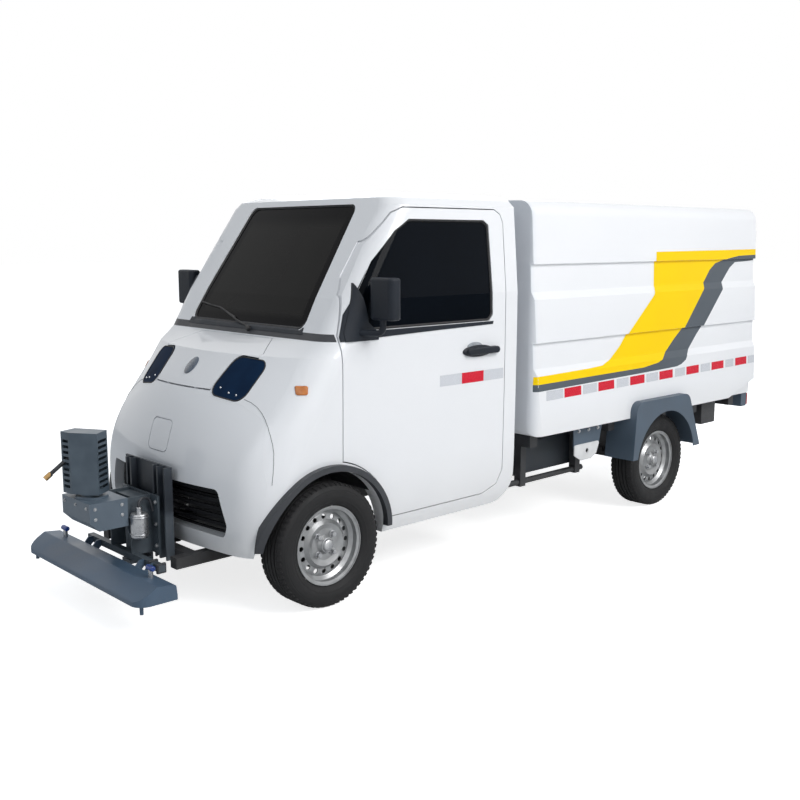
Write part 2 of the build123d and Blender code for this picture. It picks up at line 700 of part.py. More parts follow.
# Rear doors of the load body, each with its pressed panel and lock rod
rear_door_thickness = 40.0
rear_panel_depth = 10.0
rear_panel_inner_x = 90.0
rear_panel_low_x = 600.0
rear_panel_high_x = 572.0
rear_panel_low_z = 720.0
rear_panel_high_z = 1680.0
rear_panel_corner = 30.0
rod_x = 45.0
rod_radius = 10.0
rod_low_z = 680.0
rod_high_z = 1720.0
rod_reach = 23.0
rod_guide_height = 30.0
rod_guide_width = 40.0
rod_count = 4
rod_first_share = 0.25
rear_leaf = common(box_inside(panel_gap, box_rear_aft - rear_door_thickness, box_rear_aft),
                   block(panel_gap, tyre_face_x, box_front_aft, box_rear_aft + overrun, 0, 2 * box_top_z))
rear_panel = front_prism([(rear_panel_inner_x, rear_panel_low_z), (rear_panel_low_x, rear_panel_low_z),
                          (rear_panel_high_x, rear_panel_high_z), (rear_panel_inner_x, rear_panel_high_z)],
                         box_rear_aft - rear_panel_depth, box_rear_aft + overrun, corner=rear_panel_corner)
rod_pitch = (rod_high_z - rod_low_z) / rod_count
rod_guides = [block(rod_x - rod_guide_width / 2, rod_x + rod_guide_width / 2, box_rear_aft - hinge_bite,
                    box_rear_aft + rod_reach, rod_low_z + rod_pitch * (index + rod_first_share),
                    rod_low_z + rod_pitch * (index + rod_first_share) + rod_guide_height)
              for index in range(rod_count)]
rod = bar_z(rod_x, box_rear_aft + rod_reach - rod_radius, rod_low_z, rod_high_z, rod_radius)
rear_door = join(cut(rear_leaf, rear_panel), rod, *rod_guides, *door_hinges)
export(rear_door, "rear_door_l")
export(other_side(rear_door), "rear_door_r")

# Water tank and pump block in the load space
tank_front_aft = 1430.0
tank_rear_aft = 2700.0
tank_top_z = 1480.0
tank_half = 560.0
tank_corner = 60.0
tank_edge = 40.0
load_floor_z = box_bottom_z + box_floor
with BuildPart() as tank:
    add(block(-tank_half, tank_half, tank_front_aft, tank_rear_aft, load_floor_z, tank_top_z, corner=tank_corner))
    fillet(tank.faces().sort_by(Axis.Z)[-1].edges(), tank_edge)
export(tank.part, "water_tank")
pump_right_x = -420.0
pump_left_x = 120.0
pump_front_aft = 2900.0
pump_rear_aft = 3380.0
pump_top_z = 1080.0
export(block(pump_right_x, pump_left_x, pump_front_aft, pump_rear_aft, load_floor_z, pump_top_z), "pump_block")

# Frame: two rails, cross members and the bearers under the load body. Members and bearers stand at
# shares of the rails' rear end, and a member's row gives its own width too
member_shares = [0.0, 0.172, 0.361, 0.5833, 0.8194, 0.9833]
bearer_shares = [0.3944, 0.5278, 0.5889, 0.8389, 0.9667]
member_width = 70.0
member_inset = 10.0
bearer_width = 60.0
bearer_height = 68.0
bearer_half = 690.0
cab_mount_front_aft = 300.0
cab_mount_rear_aft = 1120.0
cab_mount_width = 60.0
rail_top_z = rail_bottom_z + rail_height
bearer_low_z = box_bottom_z - bearer_height
rail = block(rail_x - rail_width / 2, rail_x + rail_width / 2, rail_front_aft, rail_rear_aft, rail_bottom_z, rail_top_z)
spacer = block(rail_x - rail_width / 2, rail_x + rail_width / 2, box_front_aft + box_wall, rail_rear_aft,
               rail_top_z, bearer_low_z)
members = [block(-rail_x, rail_x, share * rail_rear_aft - member_width / 2, share * rail_rear_aft + member_width / 2,
                 rail_bottom_z + member_inset, rail_top_z - member_inset) for share in member_shares]
bearer_rows = [share * rail_rear_aft for share in bearer_shares]
bearers = [block(-bearer_half, bearer_half, place - bearer_width / 2, place + bearer_width / 2,
                 bearer_low_z, box_bottom_z) for place in bearer_rows]
cab_mounts = [block(side * rail_x - rail_width / 2, side * rail_x + rail_width / 2, place - cab_mount_width / 2,
                    place + cab_mount_width / 2, rail_top_z, cab_floor_z)
              for place in (cab_mount_front_aft, cab_mount_rear_aft) for side in (-1, 1)]
export(join(rail, other_side(rail), spacer, other_side(spacer), *members, *bearers, *cab_mounts), "frame")

# Front suspension: cross member under the rails with lower arms, upper arms on the rails
arm_width = 44.0
arm_low_z = 165.0
arm_thickness = 22.0
post_reach = 95.0
kingpin_radius = 10.0
kingpin_inset = 5.0
subframe_half_depth = 55.0
upper_arm_z = axle_z + post_reach


def suspension_arm(x_low, z_low):
    """A flat arm that ends round, with the kingpin's hole in its end."""
    with BuildPart() as arm:
        with BuildSketch(Plane.XY.offset(z_low)):
            with Locations(((x_low + kingpin_x) / 2, front_y)):
                Rectangle(kingpin_x - x_low, arm_width)
            with Locations((kingpin_x, front_y)):
                Circle(arm_width / 2)
            with Locations((kingpin_x, front_y)):
                Circle(kingpin_radius + spindle_clearance, mode=Mode.SUBTRACT)
        extrude(amount=arm_thickness)
    return arm.part


rail_outer_x = rail_x + rail_width / 2
lower_arm = suspension_arm(rail_outer_x, arm_low_z)
upper_arm = suspension_arm(rail_outer_x, upper_arm_z)
subframe = block(-rail_outer_x, rail_outer_x, -subframe_half_depth, subframe_half_depth, arm_low_z, rail_bottom_z)
export(join(subframe, lower_arm, other_side(lower_arm), upper_arm, other_side(upper_arm)), "front_suspension")

# Knuckles: a post that turns between the arms, a brake disc and the wheel's spindle
post_radius = 19.0
disc_radius = 118.0
disc_thickness = 10.0
disc_x = 628.0
spindle_end_x = 705.0
knuckle = join(bar_x(kingpin_x, spindle_end_x, 0, axle_z, spindle_radius),
               bar_x(kingpin_x, disc_x, 0, axle_z, 2 * spindle_radius),
               bar_x(disc_x, disc_x + disc_thickness, 0, axle_z, disc_radius),
               bar_z(kingpin_x, 0, arm_low_z + arm_thickness + seat_gap, upper_arm_z - seat_gap, post_radius),
               bar_z(kingpin_x, 0, arm_low_z + kingpin_inset, upper_arm_z + arm_thickness - kingpin_inset,
                     kingpin_radius))
export(knuckle, "knuckle_l")
export(other_side(knuckle), "knuckle_r")

# Rear axle with its motor, and the leaf springs under the rails
axle_tube_radius = 34.0
drum_radius = 120.0
drum_x = 590.0
motor_radius = 105.0
motor_half = 105.0
motor_edge = 30.0
leaf_half = 460.0
leaf_step = 120.0
leaf_count = 3
leaf_thickness = 9.0
leaf_gap = 3.5
leaf_half_width = 25.0
pad_half_length = 50.0
hanger_length = 40.0
axle_half = bar_x(0, drum_x, wheelbase, axle_z, axle_tube_radius)
drum = bar_x(drum_x, disc_x + disc_thickness, wheelbase, axle_z, drum_radius)
stub = bar_x(drum_x, spindle_end_x, wheelbase, axle_z, spindle_radius)
with BuildPart() as motor:
    with BuildSketch(Plane.XZ.offset(-rear_y)):
        with Locations((0, axle_z)):
            Circle(motor_radius)
    extrude(amount=motor_half, both=True)
    fillet(motor.edges(), motor_edge)
leaf_top_z = rail_bottom_z - leaf_gap
leaf_low_z = leaf_top_z - leaf_thickness * leaf_count
spring_pad = block(rail_x - leaf_half_width, rail_x + leaf_half_width, wheelbase - pad_half_length,
                   wheelbase + pad_half_length, axle_z, leaf_low_z)
axle_side = join(axle_half, drum, stub, spring_pad)
export(join(axle_side, other_side(axle_side), motor.part), "rear_axle")
leaves = [block(rail_x - leaf_half_width, rail_x + leaf_half_width, wheelbase - leaf_half + leaf_step * index,
                wheelbase + leaf_half - leaf_step * index, leaf_top_z - leaf_thickness * (index + 1),
                leaf_top_z - leaf_thickness * index) for index in range(leaf_count)]
hangers = [block(rail_x - leaf_half_width, rail_x + leaf_half_width, end - hanger_length / 2, end + hanger_length / 2,
                 leaf_top_z, rail_bottom_z)
           for end in (wheelbase - leaf_half + hanger_length / 2, wheelbase + leaf_half - hanger_length / 2)]
spring = join(*leaves, *hangers)
export(join(spring, other_side(spring)), "leaf_springs")

# Wheels: pressed steel rims with vent holes, and tyres. The disc's rows run from the rim's well to
# the hub as shares of the rim's half width and of the well's radius, and the tyre's rows from its
# bead to the tread as shares of its half width and of its height over the rim
half_rim = rim_width / 2
half_well = rim_well_width / 2
disc_shares = [(0.246, 0.987), (0.338, 0.880), (0.369, 0.747), (0.615, 0.640), (0.477, 0.480), (0.477, 0.293),
               (0.723, 0.213), (0.877, 0.173), (0.877, 0.0)]
sidewall_shares = [(1.0, 0.456), (0.927, 0.819), (0.733, 0.956), (0.388, 0.990), (0.0, 1.0)]


def rim_part():
    """A rim on the X axis, its outer side towards +X, centred on the tyre."""
    barrel_half = [(half_well, rim_well_radius), (half_well + rim_slope, rim_seat_radius),
                   (half_rim - rim_flange, rim_seat_radius), (half_rim - rim_flange / 2, rim_radius),
                   (half_rim, rim_radius)]
    barrel = [(-x, r) for x, r in barrel_half[::-1]] + barrel_half
    inside_line = [(x, r - rim_wall) for x, r in barrel]
    disc_out = spread(disc_shares, 0, half_rim, 0, rim_well_radius)
    disc_in = [(x - rim_disc_thickness, r) for x, r in disc_out]
    with BuildPart() as rim:
        with BuildSketch(Plane.XZ):
            with BuildLine():
                Polyline(*barrel, *inside_line[::-1], close=True)
            make_face()
            with BuildLine():
                Polyline(*disc_out, *disc_in[::-1], close=True)
            make_face()
            with Locations((half_rim - hub_inset - hub_depth / 2, hub_radius / 2)):
                Rectangle(hub_depth, hub_radius)
        revolve(axis=Axis.X)
        with BuildSketch(Plane.YZ):
            with PolarLocations(vent_circle / 2, vent_count):
                Circle(vent_radius)
            with PolarLocations(stud_circle / 2, stud_count, start_angle=45):
                Circle(stud_hole_radius)
        extrude(amount=half_rim, mode=Mode.SUBTRACT)
        with BuildSketch(Plane.YZ.offset(-half_rim)):
            Circle(spindle_radius + spindle_clearance)
        extrude(amount=half_rim + spindle_end_x - wheel_x + seat_gap, mode=Mode.SUBTRACT)
    return rim.part


def tyre_part():
    """A tyre on the X axis."""
    half_tyre = tyre_width / 2
    bead_x = half_rim - rim_flange
    bead_top = (bead_x + rim_flange / 2, rim_radius + seat_gap)
    side = spread(sidewall_shares, 0, half_tyre, rim_radius, tyre_radius)
    with BuildPart() as tyre:
        with BuildSketch(Plane.XZ):
            with BuildLine():
                Line((0, rim_seat_radius + seat_gap), (bead_x, rim_seat_radius + seat_gap))
                Line((bead_x, rim_seat_radius + seat_gap), bead_top)
                ThreePointArc(bead_top, side[0], side[1])
                Polyline(*side[1:], (0, rim_seat_radius + seat_gap))
            make_face()
            mirror(about=Plane.YZ)
        revolve(axis=Axis.X)
    return tyre.part


rim_left = rim_part()
tyre_left = tyre_part()
for label, axle_y in (("front", front_y), ("rear", rear_y)):
    for side, place in (("l", Location((wheel_x, axle_y, axle_z))), ("r", Location((-wheel_x, axle_y, axle_z)))):
        rim_here = rim_left if side == "l" else other_side(rim_left)
        export(rim_here.moved(place), "rim_" + label + "_" + side)
        export(tyre_left.moved(place), "tyre_" + label + "_" + side)

# Battery block between the rails, with a control box outside each rail
battery_front_aft = 1340.0
battery_rear_aft = 2050.0
battery_low_z = 300.0
battery_gap = 10.0
control_inner_x = 400.0
control_outer_x = 565.0
control_front_aft = 1400.0
control_rear_aft = 1950.0
control_low_z = 340.0
battery_half = rail_x - rail_width / 2 - battery_gap
battery = block(-battery_half, battery_half, battery_front_aft, battery_rear_aft, battery_low_z, bearer_low_z)
control_box = block(control_inner_x, control_outer_x, control_front_aft, control_rear_aft, control_low_z, bearer_low_z)
export(join(battery, control_box, other_side(control_box)), "battery_block")

# Side tube under the load body, held by a clamp on each of the first two bearers
tube_x = 600.0
tube_z = 312.0
tube_radius = 16.0
tube_front_aft = 1290.0
tube_rear_aft = 1960.0
clamp_half = 22.0
with BuildPart() as side_rail:
    with BuildSketch(Plane.XZ.offset(-aft(tube_rear_aft))):
        with Locations((tube_x, tube_z)):
            Circle(tube_radius)
    extrude(amount=tube_rear_aft - tube_front_aft)
    for place in bearer_rows[:2]:
        add(block(tube_x - clamp_half, tube_x + clamp_half, place - clamp_half, place + clamp_half,
                  tube_z - clamp_half, bearer_low_z))
export(side_rail.part, "side_rail")

# Hanger plate under the left side, with the holed bracket on it
hanger_x = 700.0
plate_thickness = 6.0
hanger_front_aft = 1754.0
hanger_rear_aft = 2021.0
hanger_low_z = 460.0
hanger_shares = [(0.0, 1.0), (0.02, 0.0), (0.88, 0.0), (1.0, 1.0)]
bracket_front_aft = 1758.0
bracket_rear_aft = 1989.0
bracket_low_z = 385.0
bracket_top_z = 478.0
bracket_shares = [(0.0, 1.0), (0.0, 0.38), (0.28, 0.0), (0.66, 0.0), (0.88, 0.28), (1.0, 1.0)]
bracket_corner = 12.0
bracket_hole_radius = 13.0
bracket_hole_aft = 1874.0
bracket_hole_z = 436.0
hanger_line = spread(hanger_shares, hanger_front_aft, hanger_rear_aft, hanger_low_z, box_bottom_z)
bracket_line = spread(bracket_shares, bracket_front_aft, bracket_rear_aft, bracket_low_z, bracket_top_z)
export(side_prism(hanger_line, hanger_x - plate_thickness, hanger_x), "side_hanger")
bracket = cut(side_prism(bracket_line, hanger_x, hanger_x + plate_thickness, corner=bracket_corner),
              bar_x(hanger_x - plate_thickness, hanger_x + 2 * plate_thickness, bracket_hole_aft, bracket_hole_z,
                    bracket_hole_radius))
export(bracket, "side_bracket")

# Rear fenders: bent sheet over each rear wheel with an outer face that leaves a round arch open
fender_inner_x = 600.0
fender_outer_x = 800.0
fender_front_aft = 2198.0
fender_rear_aft = 2912.0
fender_low_z = 340.0
fender_top_z = 673.0
fender_sheet = 5.0
fender_corner = 60.0
fender_arch_aft = 2545.0
fender_arch_z = 290.0
fender_arch_radius = 305.0
fender_shares = [(-0.025, -0.6), (0.041, 1.0), (0.801, 1.0), (1.119, -0.6)]
fender_line = spread(fender_shares, fender_front_aft, fender_rear_aft, fender_low_z, fender_top_z)
fender_form = side_prism(fender_line, fender_inner_x, fender_outer_x, corner=fender_corner, grow=fender_sheet)
fender_room = side_prism(fender_line, fender_inner_x - fender_sheet, fender_outer_x - fender_sheet,
                         corner=fender_corner)
fender = cut(fender_form, fender_room, box_outer.part,
             bar_x(fender_inner_x, fender_outer_x + fender_sheet, fender_arch_aft, fender_arch_z, fender_arch_radius),
             block(0, fender_outer_x + overrun, battery_front_aft, rail_rear_aft, -overrun, fender_low_z))
export(join(fender, other_side(fender)), "rear_fenders")

# Rear beam under the body's end with its lamps, and a small box behind each rear wheel
beam_half = 700.0
beam_low_z = 490.0
rear_lamp_width = 110.0
rear_lamp_inset = 8.0
side_box_inner_x = 590.0
side_box_front_aft = 3095.0
side_box_rear_aft = 3260.0
side_box_low_z = 430.0
lamp_rear_aft = overall_length - front_reach
export(block(-beam_half, beam_half, rail_rear_aft, box_rear_aft, beam_low_z, box_bottom_z), "rear_beam")
with BuildPart() as rear_lamp:
    add(block(beam_half - rear_lamp_width, beam_half, box_rear_aft, lamp_rear_aft, beam_low_z + rear_lamp_inset,
              box_bottom_z - rear_lamp_inset))
    fillet(rear_lamp.faces().sort_by(Axis.Y)[-1].edges(), rear_lamp_inset)
export(join(rear_lamp.part, other_side(rear_lamp.part)), "rear_lamps")
side_box = block(side_box_inner_x, beam_half, side_box_front_aft, side_box_rear_aft, side_box_low_z, box_bottom_z)
export(join(side_box, other_side(side_box)), "side_boxes")

# Front frame: two arms ahead of the front cross member, joined by a bar
front_arm_x = 310.0
front_arm_width = 50.0
front_arm_low_z = 200.0
front_arm_top_z = 250.0
front_arm_end = -540.0
mast_rear_aft = -468.0
front_arm = block(front_arm_x - front_arm_width / 2, front_arm_x + front_arm_width / 2, front_arm_end,
                  -subframe_half_depth, front_arm_low_z, front_arm_top_z)
front_bar = block(-front_arm_x, front_arm_x, mast_rear_aft, mast_rear_aft + front_arm_width, front_arm_low_z,
                  front_arm_top_z)
export(join(front_arm, other_side(front_arm), front_bar), "front_frame")

# Mast: an upright plate with a side flange, two guide channels and the lift cylinder's foot
mast_plate = 10.0
mast_top_z = 620.0
mast_half = 200.0
mast_foot_half = 150.0
mast_waist_z = 380.0
channel_x = 120.0
channel_half = 25.0
channel_wall = 5.0
channel_depth = 30.0
slide_gap = 5.0
slot_half = 12.0
cylinder_x = -30.0
cylinder_aft = -560.0
cylinder_radius = 21.0
foot_low_z = 155.0
foot_top_z = 175.0
foot_half = 35.0
foot_margin = 6.0
mast_front_aft = mast_rear_aft - mast_plate
channel_front_aft = mast_front_aft - channel_depth


def guide_channel(x):
    """A channel that opens forward in a slot, at a place across the truck."""
    outer = block(x - channel_half, x + channel_half, channel_front_aft, mast_front_aft, front_arm_low_z, mast_top_z)
    room = block(x - channel_half + channel_wall, x + channel_half - channel_wall, channel_front_aft + channel_wall,
                 mast_front_aft, 0, mast_top_z + overrun)
    slot = block(x - slot_half, x + slot_half, channel_front_aft - overrun, mast_front_aft, 0, mast_top_z + overrun)
    return cut(outer, room, slot)


mast_sheet = front_prism([(mast_half, front_arm_low_z), (mast_half, mast_top_z), (-mast_half, mast_top_z),
                          (-mast_foot_half, mast_waist_z), (-mast_foot_half, front_arm_low_z)],
                         mast_front_aft, mast_rear_aft)
mast = join(mast_sheet,
            block(mast_half - mast_plate, mast_half, channel_front_aft, mast_rear_aft, front_arm_low_z, mast_top_z),
            guide_channel(channel_x), guide_channel(-channel_x),
            block(cylinder_x - foot_half, cylinder_x + foot_half, mast_front_aft, mast_rear_aft, foot_low_z,
                  front_arm_low_z),
            block(cylinder_x - foot_half, cylinder_x + foot_half, cylinder_aft - cylinder_radius - foot_margin,
                  mast_rear_aft, foot_low_z, foot_top_z))
export(mast, "mast")

# Lift cylinder on the mast's foot, and its rod under the carriage's lug
rod_bore_clearance = 0.05
lift_rod_radius = 8.0
cylinder_top_z = 380.0
bore_low_z = 195.0
lift_rod_low_z = 250.0
lug_low_z = 462.0
lug_top_z = 478.0
export(cut(bar_z(cylinder_x, cylinder_aft, foot_top_z, cylinder_top_z, cylinder_radius),
           bar_z(cylinder_x, cylinder_aft, bore_low_z, cylinder_top_z + overrun, lift_rod_radius + rod_bore_clearance)),
       "lift_cylinder")
export(bar_z(cylinder_x, cylinder_aft, lift_rod_low_z, lug_low_z, lift_rod_radius), "lift_rod")

# Carriage: a plate with shoes in the channels, two cheeks, the rod's lug and a cross tube
carriage_half = 160.0
carriage_gap = 4.0
carriage_plate = 10.0
carriage_low_z = 225.0
carriage_top_z = 490.0
cheek_x = 90.0
cheek_thickness = 8.0
cheek_waist_z = 385.0
cheek_step_z = 300.0
base_rear_aft = -648.0
lug_reach = 30.0
cross_tube_half = 330.0
cross_tube_size = 30.0
cross_tube_rear_aft = -592.0
cross_tube_low_z = 205.0
carriage_rear_aft = channel_front_aft - carriage_gap
carriage_front_aft = carriage_rear_aft - carriage_plate
cross_tube_front_aft = cross_tube_rear_aft - cross_tube_size
cross_tube_top_z = cross_tube_low_z + cross_tube_size
shoe_half = channel_half - channel_wall - slide_gap
shoe_rear_aft = mast_front_aft - slide_gap
shoe_front_aft = channel_front_aft + channel_wall + slide_gap
neck_half = slot_half - slide_gap
cheek_line = [(carriage_front_aft, carriage_low_z), (carriage_front_aft, carriage_top_z),
              (base_rear_aft, carriage_top_z), (base_rear_aft, cheek_waist_z), (cross_tube_front_aft, cheek_step_z),
              (cross_tube_front_aft, carriage_low_z)]
cheek = side_prism(cheek_line, cheek_x, cheek_x + cheek_thickness)
shoe = join(block(channel_x - shoe_half, channel_x + shoe_half, shoe_front_aft, shoe_rear_aft,
                  carriage_low_z, carriage_top_z),
            block(channel_x - neck_half, channel_x + neck_half, carriage_rear_aft, shoe_rear_aft,
                  carriage_low_z, carriage_top_z))
carriage = join(block(-carriage_half, carriage_half, carriage_front_aft, carriage_rear_aft, carriage_low_z,
                      carriage_top_z),
                cheek, other_side(cheek), shoe, other_side(shoe),
                block(-cheek_x, cheek_x, cylinder_aft - lug_reach, carriage_front_aft, lug_low_z, lug_top_z),
                block(-cross_tube_half, cross_tube_half, cross_tube_front_aft, cross_tube_rear_aft,
                      cross_tube_low_z, cross_tube_top_z))
export(carriage, "carriage")

# Silver canister beside the left cheek, on its bracket
canister_x = 145.0
canister_aft = -606.0
canister_radius = 38.0
canister_low_z = 318.0
canister_top_z = 428.0
canister_edge = 8.0
saddle_half = 12.0
saddle_margin = 22.0
with BuildPart() as canister:
    add(bar_z(canister_x, canister_aft, canister_low_z, canister_top_z, canister_radius))
    fillet(canister.faces().sort_by(Axis.Z)[-1].edges(), canister_edge)
    fillet(canister.faces().sort_by(Axis.Z)[0].edges(), canister_edge)
    add(block(cheek_x + cheek_thickness, canister_x, canister_aft - saddle_half, canister_aft + saddle_half,
              canister_low_z + saddle_margin, canister_top_z - saddle_margin))
export(canister.part, "canister")

# Spray hood across the front, hung on the cross tube, with its pipe and nozzles inside
hood_half = 535.0
hood_sheet = 5.0
hood_corner = 60.0
hood_fold_round = 12.0
hood_low_z = 150.0
hood_front_aft = -835.0
hood_fold_aft = -745.0
hood_top_aft = -660.0
hood_rear_aft = -655.0
hood_edge_z = 170.0
hood_fold_z = 225.0
hood_top_z = 215.0
pipe_aft = -700.0
pipe_z = 186.0
pipe_radius = 12.0
riser_x = 400.0
riser_radius = 10.0
riser_top_z = 262.0
nozzle_count = 8
nozzle_pitch = 130.0
spray_nozzle_radius = 8.0
spray_nozzle_length = 26.0
inner_lug_x = 200.0
outer_lug_x = 280.0
lug_thickness = 8.0
stub_x = 497.0
stub_aft = -800.0
stub_radius = 8.0
stub_low_z = 112.0
hood_line = [(hood_front_aft, -overrun), (hood_front_aft, hood_edge_z), (hood_fold_aft, hood_fold_z),
             (hood_top_aft, hood_top_z), (hood_rear_aft, hood_edge_z), (hood_rear_aft, -overrun)]
hood_lug_line = [(hood_rear_aft - hood_sheet, hood_edge_z), (hood_top_aft - hood_sheet, hood_top_z - hood_sheet),
                 (hood_rear_aft + hood_fold_round, cross_tube_top_z), (cross_tube_front_aft, cross_tube_top_z),
                 (cross_tube_front_aft, cross_tube_low_z)]


def hood_form(shrink):
    """The hood's closed form, drawn in by the sheet, its front corners round in plan."""
    profile = side_prism(hood_line, shrink - hood_half, hood_half - shrink, corner=hood_fold_round, grow=-shrink)
    plan = block(shrink - hood_half, hood_half - shrink, hood_front_aft + shrink, hood_rear_aft + overrun,
                 -overrun, box_top_z, corner=hood_corner - shrink)
    return common(profile, plan)


hood = cut(hood_form(0), hood_form(hood_sheet),
           block(-hood_half - overrun, hood_half + overrun, hood_front_aft - overrun, hood_rear_aft + overrun,
                 -2 * overrun, hood_low_z))
with BuildPart() as spray_pipe:
    add(bar_x(hood_sheet - hood_half, hood_half - hood_sheet, pipe_aft, pipe_z, pipe_radius))
    with BuildSketch(Plane.XY.offset(pipe_z)):
        with Locations((riser_x, aft(pipe_aft)), (-riser_x, aft(pipe_aft))):
            Circle(riser_radius)
    extrude(amount=riser_top_z - pipe_z)
    with BuildSketch(Plane.XY.offset(pipe_z - spray_nozzle_length)):
        with Locations((0, aft(pipe_aft))):
            with GridLocations(nozzle_pitch, 0, nozzle_count, 1):
                Circle(spray_nozzle_radius)
    extrude(amount=spray_nozzle_length)
export(spray_pipe.part, "spray_pipe")
hood_lugs = [side_prism(hood_lug_line, side * place - lug_thickness / 2, side * place + lug_thickness / 2)
             for place in (inner_lug_x, outer_lug_x) for side in (-1, 1)]
slope_share = (stub_aft - hood_front_aft) / (hood_fold_aft - hood_front_aft)
stub_top_z = hood_edge_z + (hood_fold_z - hood_edge_z) * slope_share - hood_sheet
stub = bar_z(stub_x, stub_aft, stub_low_z, stub_top_z, stub_radius)
export(cut(join(hood, *hood_lugs, stub, other_side(stub)), spray_pipe.part), "spray_hood")

# Tower base box on the cheeks, with the fixed ring and spindle
tower_aft = -750.0
base_left_x = 127.0
base_right_x = -132.0
base_front_aft = -826.0
base_low_z = 375.0
base_top_z = 500.0
base_chamfer = 42.0
ring_radius = 70.0
ring_height = 8.0
tower_gap = 5.0
tower_low_z = 520.0
tower_top_z = 790.0
tower_wall = 4.0
boss_radius = 49.0
boss_height = 32.0
spindle_height = 48.0
tower_spindle_radius = 16.0
base_line = [(base_rear_aft, base_low_z), (base_rear_aft, base_top_z), (base_front_aft, base_top_z),
             (base_front_aft, base_low_z + base_chamfer), (base_front_aft + base_chamfer, base_low_z)]
export(join(side_prism(base_line, base_right_x, base_left_x),
            bar_z(0, tower_aft, base_top_z, base_top_z + ring_height, ring_radius),
            bar_z(0, tower_aft, base_top_z, tower_low_z + spindle_height, tower_spindle_radius)), "tower_base")

# Tower housing: a five-sided sheet box with louvres on two faces, turning on the spindle. The
# corners of its plan are shares of its size, across and aft of the spindle
tower_size = 100.0
tower_shares = [(-0.85, -0.90), (-0.25, -0.80), (0.80, -0.05), (0.21, 0.73), (-1.15, -0.10)]
louvre_count = 9
louvre_pitch = 25.0
louvre_slot = 13.0
louvre_margin = 9.0
louvre_rise = 24.0
tower_line = [(tower_size * across, tower_aft + tower_size * back) for across, back in tower_shares]

# Gun lance with its nozzle: it leaves the housing forwards and down
lance_x = -75.0
lance_aft = -816.0
lance_z = 668.0
lance_turn = 8.447
lance_drop = 37.377
lance_radius = 9.0
nozzle_radius = 12.0
nozzle_length = 34.0
lance_inset = 45.0
lance_start = Vector(lance_x, aft(lance_aft), lance_z)
lance_level = math.cos(math.radians(lance_drop))
lance_way = Vector(-lance_level * math.sin(math.radians(lance_turn)),
                   -lance_level * math.cos(math.radians(lance_turn)), -math.sin(math.radians(lance_drop)))
tip_reach = nozzle_radius * math.sqrt(1 - lance_way.Y ** 2)
lance_length = (lance_start.Y - aft(-front_reach) - tip_reach) / -lance_way.Y
lance_plane = Plane(origin=lance_start - lance_way * lance_inset, z_dir=lance_way)
with BuildPart() as lance:
    with BuildSketch(lance_plane):
        Circle(lance_radius)
    extrude(amount=lance_inset + lance_length)
    with BuildSketch(lance_plane.offset(lance_inset + lance_length - nozzle_length)):
        Circle(nozzle_radius)
    extrude(amount=nozzle_length)
export(lance.part, "lance")


def louvre_slots(start, end):
    """Slots through one face of the housing, between two corners of its plan."""
    run = Vector(end[0] - start[0], end[1] - start[1], 0)
    middle_x = (start[0] + end[0]) / 2
    middle_y = aft((start[1] + end[1]) / 2)
    with BuildPart() as slots:
        for index in range(louvre_count):
            slot_z = tower_low_z + louvre_rise + louvre_pitch * index
            with BuildSketch(Plane(origin=(middle_x, middle_y, slot_z), x_dir=run.normalized(), z_dir=(0, 0, 1))):
                Rectangle(run.length - 2 * louvre_margin, 4 * tower_wall)
            extrude(amount=louvre_slot)
    return slots.part


boss_low_z = base_top_z + ring_height + tower_gap
tower_outer = plan_prism(tower_line, tower_low_z, tower_top_z)
tower_inner = plan_prism(tower_line, tower_low_z + tower_wall, tower_top_z - tower_wall, grow=-tower_wall)
tower = join(cut(tower_outer, tower_inner, louvre_slots(tower_line[0], tower_line[1]),
                 louvre_slots(tower_line[2], tower_line[3])),
             bar_z(0, tower_aft, boss_low_z, boss_low_z + boss_height, boss_radius))
spindle_room = bar_z(0, tower_aft, base_top_z, tower_low_z + spindle_height + tower_gap,
                     tower_spindle_radius + spindle_clearance)
export(cut(tower, spindle_room, lance.part), "tower_housing")
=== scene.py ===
import bpy
import math
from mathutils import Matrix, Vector


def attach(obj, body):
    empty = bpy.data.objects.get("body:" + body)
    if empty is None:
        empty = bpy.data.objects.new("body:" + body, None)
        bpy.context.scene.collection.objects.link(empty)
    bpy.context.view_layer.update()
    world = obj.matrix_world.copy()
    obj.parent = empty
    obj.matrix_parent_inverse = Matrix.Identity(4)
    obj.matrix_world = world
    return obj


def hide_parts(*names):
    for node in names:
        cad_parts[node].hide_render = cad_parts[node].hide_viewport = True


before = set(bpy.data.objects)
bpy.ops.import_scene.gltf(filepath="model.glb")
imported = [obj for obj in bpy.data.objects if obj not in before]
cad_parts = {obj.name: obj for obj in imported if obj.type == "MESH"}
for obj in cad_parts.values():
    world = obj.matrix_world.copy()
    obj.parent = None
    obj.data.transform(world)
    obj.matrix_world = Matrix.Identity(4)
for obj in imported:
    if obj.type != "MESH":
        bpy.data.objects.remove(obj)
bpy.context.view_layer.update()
scene = bpy.context.scene

# Camera
# It stands ahead of the truck's left front corner at the height of a person's eyes, with the lens
# and the place that the photograph was taken from.
lens_data = bpy.data.cameras.new("camera")
camera = bpy.data.objects.new("camera", lens_data)
scene.collection.objects.link(camera)
turn = math.radians(43.03)
dip = math.radians(9.09)
camera.location = (4.039, -4.0615, 1.610)
level_way = math.cos(dip)
sight = Vector((-math.cos(turn) * level_way, math.sin(turn) * level_way, -math.sin(dip)))
camera.rotation_euler = sight.to_track_quat("-Z", "Y").to_euler()
lens_data.lens = 45.21
lens_data.sensor_width = 36
lens_data.clip_end = 200
scene.camera = camera
scene.view_settings.view_transform = "Standard"


